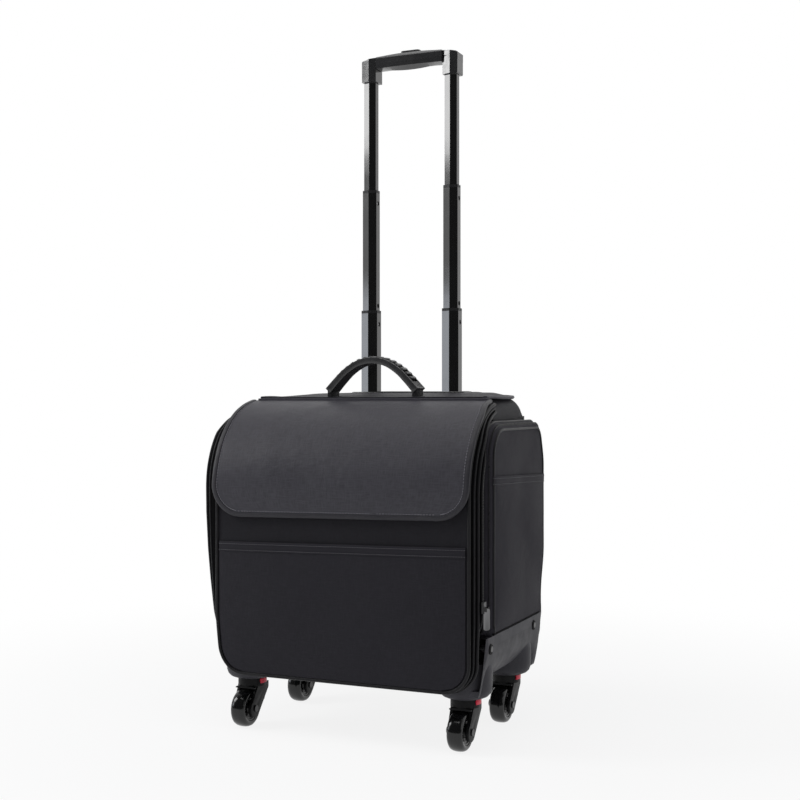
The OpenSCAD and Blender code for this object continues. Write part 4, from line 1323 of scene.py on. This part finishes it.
def slim_grip(x, y, z):
    """Draws the brackets in round the tubes, ridges their fronts and slims the bar between them."""
    d = abs(x) - TUBE_X
    if abs(x) < 49.2:
        y = TUBE_Y + (y - TUBE_Y) * 0.8
        if z < 925:
            z += (2.7 if abs(y - TUBE_Y) < 3 else 7.5) * max(0.0, 1 - (x / 46.0) ** 2)
    elif y < TUBE_Y - 11:
        off = x - math.copysign(TUBE_X, x) - 1.5
        y += 0.36 * max(0.0, -off) + 0.28 * max(0.0, off)
    if abs(d) > 10.6 and d > -18:
        d = math.copysign(10.6 + (abs(d) - 10.6) * 0.3, d)
    return math.copysign(TUBE_X + d, x), y, z


def full_corner(x, y, z):
    """Lets the ends of a runner stand upright over the casters instead of rounding under."""
    upright = 194.5 - (147.0 - z) * 0.12
    front = step(84, 102, -y) if x > 0 else 0.0
    share = max(step(80, 106, y), front) * step(120, 134, abs(x))
    return math.copysign(abs(x) + share * 0.94 * max(0.0, upright - abs(x)), x), y, z


# Planes across X and Y that part the brackets from the bar, ridge the brackets and give the bar its keel
GRIP_CUTS = [(0, side * x) for side, _ in SIDES for x in (49.0, 49.4)]
GRIP_CUTS += [(0, TUBE_X + 1.5), (0, 1.5 - TUBE_X), (1, TUBE_Y)]
for node_name, body, reshape, cuts in (
        ("tube_bezel", "case", None, ()),
        ("grip_lower", "stage3", slim_grip, GRIP_CUTS),
        ("grip_upper", "stage3", slim_grip, GRIP_CUTS),
        ("release_button", "button", None, ())):
    eased(node_name, 1.2, grip_plastic, body, "grip_plastic", reshape=reshape, cuts=cuts)
spring = eased("button_spring", 0.1, bright_steel, "stage3", "steel", segments=1)
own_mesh(spring)
RUNNER_CUTS = [(1, y) for y in (-102.0, -96.0, -90.0, -84.0, 80.0, 86.0, 92.0, 98.0, 106.0)]
for _, word in SIDES:
    eased("base_runner_" + word, 1.6, runner_plastic, "case", "runner_plastic", reshape=full_corner,
          cuts=RUNNER_CUTS)


# Carry grip: an arched bar with a row of raised lugs on its outer face

# Right half of the arch from its top down, as (X, Z)
ARCH = [(0.0, 493.6), (20.0, 490.0), (38.0, 479.6), (52.0, 466.6), (65.0, 452.6)]
# Parts along the bar, every other one a lug or a slot
GRIP_PARTS = 36


def arch_at(q):
    """Point (x, z) on the right half of the arch, from its top at 0 to its foot at 1."""
    at = min(0.9999, abs(q)) * (len(ARCH) - 1)
    i = int(at)
    p0, p1, p2, p3 = neighbours(ARCH, i)
    if i == 0:
        p0 = (-ARCH[1][0], ARCH[1][1])
    if i == len(ARCH) - 2:
        p3 = (2 * p2[0] - p1[0], 2 * p2[1] - p1[1])
    return curve_at((p0, p1, p2, p3), at - i)


def arch_spot(t):
    """Middle of the arched bar at t from -1 to 1, and its outward side."""
    side = -1.0 if t < 0 else 1.0
    x, z = arch_at(t)
    xa, za = arch_at(max(0.0, abs(t) - 0.01))
    xb, zb = arch_at(min(1.0, abs(t) + 0.01))
    way = Vector((xb - xa, 0, zb - za)).normalized()
    return Vector((side * x, 0, z)), Vector((-side * way.z, 0, way.x))


def make_carry_grip():
    low, high = node_box("carry_grip")
    middle_y = 0.5 * (low.y + high.y)
    clear_selection()
    bpy.ops.mesh.primitive_cube_add(size=2.0)
    ob = bpy.context.object
    ob.name = "carry_grip_shape"
    edit_mode()
    for i in range(1, GRIP_PARTS):
        bpy.ops.mesh.select_all(action="SELECT")
        bpy.ops.mesh.bisect(plane_co=(-1 + 2 * i / GRIP_PARTS, 0, 0), plane_no=(1, 0, 0))
    for y in (-0.7, 0.7):
        bpy.ops.mesh.select_all(action="SELECT")
        bpy.ops.mesh.bisect(plane_co=(0, y, 0), plane_no=(0, 1, 0))
    bpy.ops.mesh.select_all(action="DESELECT")
    object_mode()
    for face in ob.data.polygons:
        c = face.center
        place = int(round((c.x + 1) * GRIP_PARTS / 2 - 0.5))
        outer = c.z > 0.99 and abs(c.y) < 0.6
        face.select = outer and place % 2 == 1 and 4 < place < GRIP_PARTS - 3
        # Faces between the lugs are marked for the near-black second material: painted shade in the slots.
        face.material_index = 1 if outer and place % 2 == 0 and 3 < place < GRIP_PARTS - 2 else 0
    for vert in ob.data.vertices:
        t, v, w = vert.co
        spot, out = arch_spot(t)
        half = 12.6 + 1.4 * abs(t) ** 2
        thick = 4.6 + 0.5 * t * t
        over = Vector((0, middle_y - 3.0 + v * half, 0))
        vert.co = (spot + out * (w * thick - 0.5 * v * v * w) + over) * MM
    edit_mode()
    bpy.ops.mesh.select_mode(type="FACE")
    bpy.ops.mesh.inset(thickness=0.4 * MM, depth=1.6 * MM, use_individual=True)
    object_mode()
    for face in ob.data.polygons:
        face.select = face.material_index == 1
    edit_mode()
    bpy.ops.mesh.inset(thickness=0.3 * MM, depth=-3.2 * MM, use_individual=True)
    object_mode()
    add_modifier(ob, "BEVEL", width=0.5 * MM, segments=2, limit_method="ANGLE", angle_limit=math.radians(50),
                 use_clamp_overlap=True)
    outward(ob)
    smooth(ob, 40)
    # The slots take the near-black material, which paints their shade.
    slots = [face.index for face in ob.data.polygons if face.material_index == 1]
    dress(ob, grip_rubber, "case", "grip_rubber", "carry_grip")
    ob.data.materials.append(slot_shade)
    for i in slots:
        ob.data.polygons[i].material_index = 1


make_carry_grip()


# Casters: crowned tyres, dished hubs, fork hoods and the red release tabs

def turned(name, profile, centre, steps=64, upright=False, sweep_from=0.0, sweep_angle=360.0):
    """Spins a closed profile of (radius, along) points round an axle along X, or round an upright one."""
    clear_selection()
    bpy.ops.mesh.primitive_circle_add(vertices=len(profile), radius=0.01, fill_type="NOTHING")
    ob = bpy.context.object
    ob.name = name
    middle = Vector(centre) * MM
    for vert, (radius, along) in zip(ob.data.vertices, profile):
        vert.co = middle + Vector((radius, 0, along) if upright else (along, 0, radius)) * MM
    edit_mode()
    bpy.ops.mesh.select_all(action="SELECT")
    if sweep_angle < 360.0:
        bpy.ops.mesh.edge_face_add()
    axis = (0, 0, 1) if upright else (1, 0, 0)
    bpy.ops.mesh.spin(steps=steps, angle=math.radians(sweep_angle), center=middle, axis=axis)
    bpy.ops.mesh.select_all(action="SELECT")
    bpy.ops.mesh.remove_doubles(threshold=MERGE)
    bpy.ops.mesh.normals_make_consistent(inside=False)
    object_mode()
    if sweep_from:
        turn = Matrix.Rotation(math.radians(sweep_from), 4, "X")
        ob.data.transform(Matrix.Translation(middle) @ turn @ Matrix.Translation(-middle))
    outward(ob)
    smooth(ob, 32)
    return ob


def copied(ob, name, shift):
    """A copy with its own mesh, moved by shift millimetres in the mesh."""
    twin = ob.copy()
    twin.data = ob.data.copy()
    twin.name = name
    bpy.context.collection.objects.link(twin)
    twin.data.transform(Matrix.Translation(Vector(shift) * MM))
    return twin


TAB_R, TAB_TALL, TAB_T = 19.0, 6.2, 1.7
# The two ends of a tab, as an angle and the side that stays
TAB_ENDS = ((-27, 1), (12, -1))


def release_tab(name, centre, z):
    """A thin curved tab that hugs the front outer side of a fork neck."""
    clear_selection()
    middle = (centre[0] * MM, centre[1] * MM, z * MM)
    bpy.ops.mesh.primitive_cylinder_add(vertices=96, radius=TAB_R * MM, depth=TAB_TALL * MM,
                                        end_fill_type="NOTHING", location=middle)
    ob = bpy.context.object
    ob.name = name
    bpy.ops.object.transform_apply(location=True, rotation=False, scale=False)
    edit_mode()
    for degrees, keep in TAB_ENDS:
        a = math.radians(degrees)
        bpy.ops.mesh.select_all(action="SELECT")
        bpy.ops.mesh.bisect(plane_co=middle, plane_no=(-math.sin(a) * keep, math.cos(a) * keep, 0),
                            clear_inner=True)
    object_mode()
    add_modifier(ob, "SOLIDIFY", thickness=TAB_T * MM, offset=1.0)
    outward(ob)
    add_modifier(ob, "BEVEL", width=0.55 * MM, segments=2, limit_method="ANGLE", angle_limit=math.radians(40))
    smooth(ob, 40)
    return ob


TYRE = [(17.2, -9.8), (19.4, -10.5), (21.4, -10.2), (23.2, -8.8), (24.4, -6.2), (24.9, -3.0), (25.0, 0.0),
        (24.9, 3.0), (24.4, 6.2), (23.2, 8.8), (21.4, 10.2), (19.4, 10.5), (17.2, 9.8)]
HUB = [(3.1, -10.4), (6.0, -10.4), (6.4, -9.6), (8.0, -6.6), (10.6, -6.2), (12.0, -7.4), (13.6, -8.0),
       (14.2, -9.2), (16.6, -9.2), (17.0, -8.6), (17.0, 8.6), (16.6, 9.2), (14.2, 9.2), (13.6, 8.0),
       (12.0, 7.4), (10.6, 6.2), (8.0, 6.6), (6.4, 9.6), (6.0, 10.4), (3.1, 10.4)]
CASTER_X, CASTER_Y, TRAIL, WHEEL_R = 155.0, 79.0, 18.0, 25.0
CORNERS = {"fl": (-1, -1), "fr": (1, -1), "rl": (-1, 1), "rr": (1, 1)}
first_axle = (-CASTER_X, -CASTER_Y - TRAIL, WHEEL_R)
tab_low, tab_high = node_box("tab_fl")
tab_z = 0.5 * (tab_low.z + tab_high.z)
HOOD = [(25.9, -14.6), (27.4, -14.6), (28.2, -12.6), (28.4, 0.0), (28.2, 12.6), (27.4, 14.6), (25.9, 14.6)]
# The pieces of the front left caster, which the other three copy
first = {
    "tyre_ring_": turned("tyre_ring_fl", TYRE, first_axle),
    "hub_dish_": turned("hub_dish_fl", HUB, first_axle),
    "release_tab_": release_tab("release_tab_fl", (-CASTER_X, -CASTER_Y), tab_z),
    "fork_hood_": turned("fork_hood_fl", HOOD, first_axle, 20, sweep_from=3.0, sweep_angle=76.0),
}


def slim_arm(axle):
    """Draws the left arm of a fork back behind its tyre."""
    def reshape(x, y, z):
        if x < axle.x - 9 and z < 52:
            y = axle.y + 3.0 + (y - axle.y) * 0.6
        return x, y, z
    return reshape


for corner, (sx, sy) in CORNERS.items():
    made = first
    if corner != "fl":
        shift = (sx * CASTER_X + CASTER_X, sy * CASTER_Y + CASTER_Y, 0)
        made = {stem: copied(ob, stem + corner, shift) for stem, ob in first.items()}
    dress(made["tyre_ring_"], tyre_rubber, "wheel_" + corner, "tyre", "tyre_" + corner)
    dress(made["hub_dish_"], hub_plastic, "wheel_" + corner, "hub_plastic", "hub_" + corner)
    dress(made["release_tab_"], tab_red, "release_" + corner, "tab_red", "tab_" + corner)
    dress(made["fork_hood_"], caster_plastic, "caster_" + corner, "caster_plastic")
    axle = Vector((sx * CASTER_X, sy * CASTER_Y - TRAIL, WHEEL_R))
    eased("fork_" + corner, 2.0, caster_plastic, "caster_" + corner, "caster_plastic", segments=3,
          reshape=slim_arm(axle))


# Rounded housings of the runners over the casters, and the dark rings round the runner screws, which paint
# the shadow of the screw recesses

HOUSING = [(20.2, 64.6), (24.6, 65.0), (29.0, 66.8), (32.2, 70.0), (34.0, 75.0), (34.6, 82.0), (34.6, 100.0),
           (33.4, 110.0), (20.2, 110.0)]


def case_block():
    """The room of the case, to cut the housings with."""
    clear_selection()
    bpy.ops.mesh.primitive_cube_add(size=1.0)
    ob = bpy.context.object
    for vert in ob.data.vertices:
        x, y, z = vert.co
        spot = (x * 2 * (HALF_W + 0.3), y * 400.0, BASE_Z - 0.3 + (z + 0.5) * 300.0)
        vert.co = Vector(spot) * MM
    for edge in ob.data.edges:
        a, b = (ob.data.vertices[i].co for i in edge.vertices)
        edge.select = abs(a.y - b.y) > 0.1 and a.z < 0.1
    edit_mode()
    bpy.ops.mesh.select_mode(type="EDGE")
    bpy.ops.mesh.bevel(offset=(CORNER_R + 0.3) * MM, segments=12, affect="EDGES")
    object_mode()
    return ob


cutter = case_block()
for corner, (sx, sy) in CORNERS.items():
    housing = turned("caster_housing_" + corner, HOUSING, (sx * CASTER_X, sy * CASTER_Y, 0), 72, upright=True)
    add_modifier(housing, "BOOLEAN", object=cutter, operation="DIFFERENCE", solver="EXACT")
    outward(housing)
    smooth(housing, 35)
    dress(housing, runner_plastic, "case", "runner_plastic")
bpy.data.objects.remove(cutter, do_unlink=True)
SCREW_RING = [(4.8, -0.8), (4.9, 0.7), (5.8, 1.0), (6.7, 0.7), (6.8, -0.8)]
# From the first ring to the one behind it and to the two on the left
RING_SHIFTS = ((0, 175, 2), (-388.4, 0, 0), (-388.4, 175, 2))
first_ring = turned("screw_ring", SCREW_RING, (194.2, -93.0, 130.0), 40)
screw_rings = [first_ring]
for k, shift in enumerate(RING_SHIFTS):
    screw_rings.append(copied(first_ring, "screw_ring_%d" % k, shift))
for ob in screw_rings:
    dress(ob, ring_shade, "case", "steel")


# Zip pull

PULL_WIDE, PULL_T, PULL_CORNER = 8.6, 1.7, 3.0
# The pull hangs turned by this many degrees
PULL_TURN = 42


def make_zip_pull():
    low, high = node_box("zip_pull")
    middle = (low + high) / 2
    clear_selection()
    bpy.ops.mesh.primitive_cube_add(size=1.0)
    ob = bpy.context.object
    ob.name = "zip_pull_tab"
    for vert in ob.data.vertices:
        vert.co = Vector((vert.co.x * PULL_WIDE, vert.co.y * PULL_T, vert.co.z * (high.z - low.z - 1.0))) * MM
    edit_mode()
    bpy.ops.mesh.select_all(action="DESELECT")
    object_mode()
    for edge in ob.data.edges:
        a, b = (ob.data.vertices[i].co for i in edge.vertices)
        edge.select = abs(a.y - b.y) > 0.001
    edit_mode()
    bpy.ops.mesh.select_mode(type="EDGE")
    bpy.ops.mesh.bevel(offset=PULL_CORNER * MM, segments=5, affect="EDGES")
    bpy.ops.mesh.select_all(action="DESELECT")
    object_mode()
    for face in ob.data.polygons:
        face.select = abs(face.normal.y) > 0.9
    edit_mode()
    bpy.ops.mesh.select_mode(type="FACE")
    bpy.ops.mesh.inset(thickness=1.3 * MM, depth=-0.4 * MM)
    object_mode()
    add_modifier(ob, "BEVEL", width=0.25 * MM, segments=2, limit_method="ANGLE", angle_limit=math.radians(30))
    ob.data.transform(Matrix.Translation(middle * MM) @ Matrix.Rotation(math.radians(PULL_TURN), 4, "Z"))
    outward(ob)
    smooth(ob, 35)
    dress(ob, zip_metal, "pull", "zip_metal", "zip_pull")


make_zip_pull()


# Webbing of the carry handle

def webbing_tabs():
    low, high = node_box("carry_webbing")
    y = 0.5 * (low.y + high.y) - 3.0
    half = 0.5 * (high.y - low.y)
    section = [(-half, -2.4), (1.0 - half, -3.2), (half - 1.0, -3.2), (half, -2.4), (half, 2.4),
               (half - 1.0, 3.2), (1.0 - half, 3.2), (-half, 2.4)]
    tabs = []
    for side, _ in SIDES:
        x = side * (high.x - 0.5)
        points = [(x - side * 15.0, y, low.z + 1.0), (x - side * 4.0, y, low.z + 1.0),
                  (x - side * 1.0, y, low.z + 2.2), (x, y, low.z + 5.0)]
        points += [(x, y, low.z + 5.0 + (high.z - low.z - 13.0) * i / 8) for i in range(1, 9)]
        tabs.append(run_section("tab", path_frames(points, (side, 0, 0.3)), section))
    ob = joined("carry_webbing_tabs", tabs)
    smooth(ob, 40)
    dress(ob, web_cloth, "case", "webbing", "carry_webbing")


webbing_tabs()
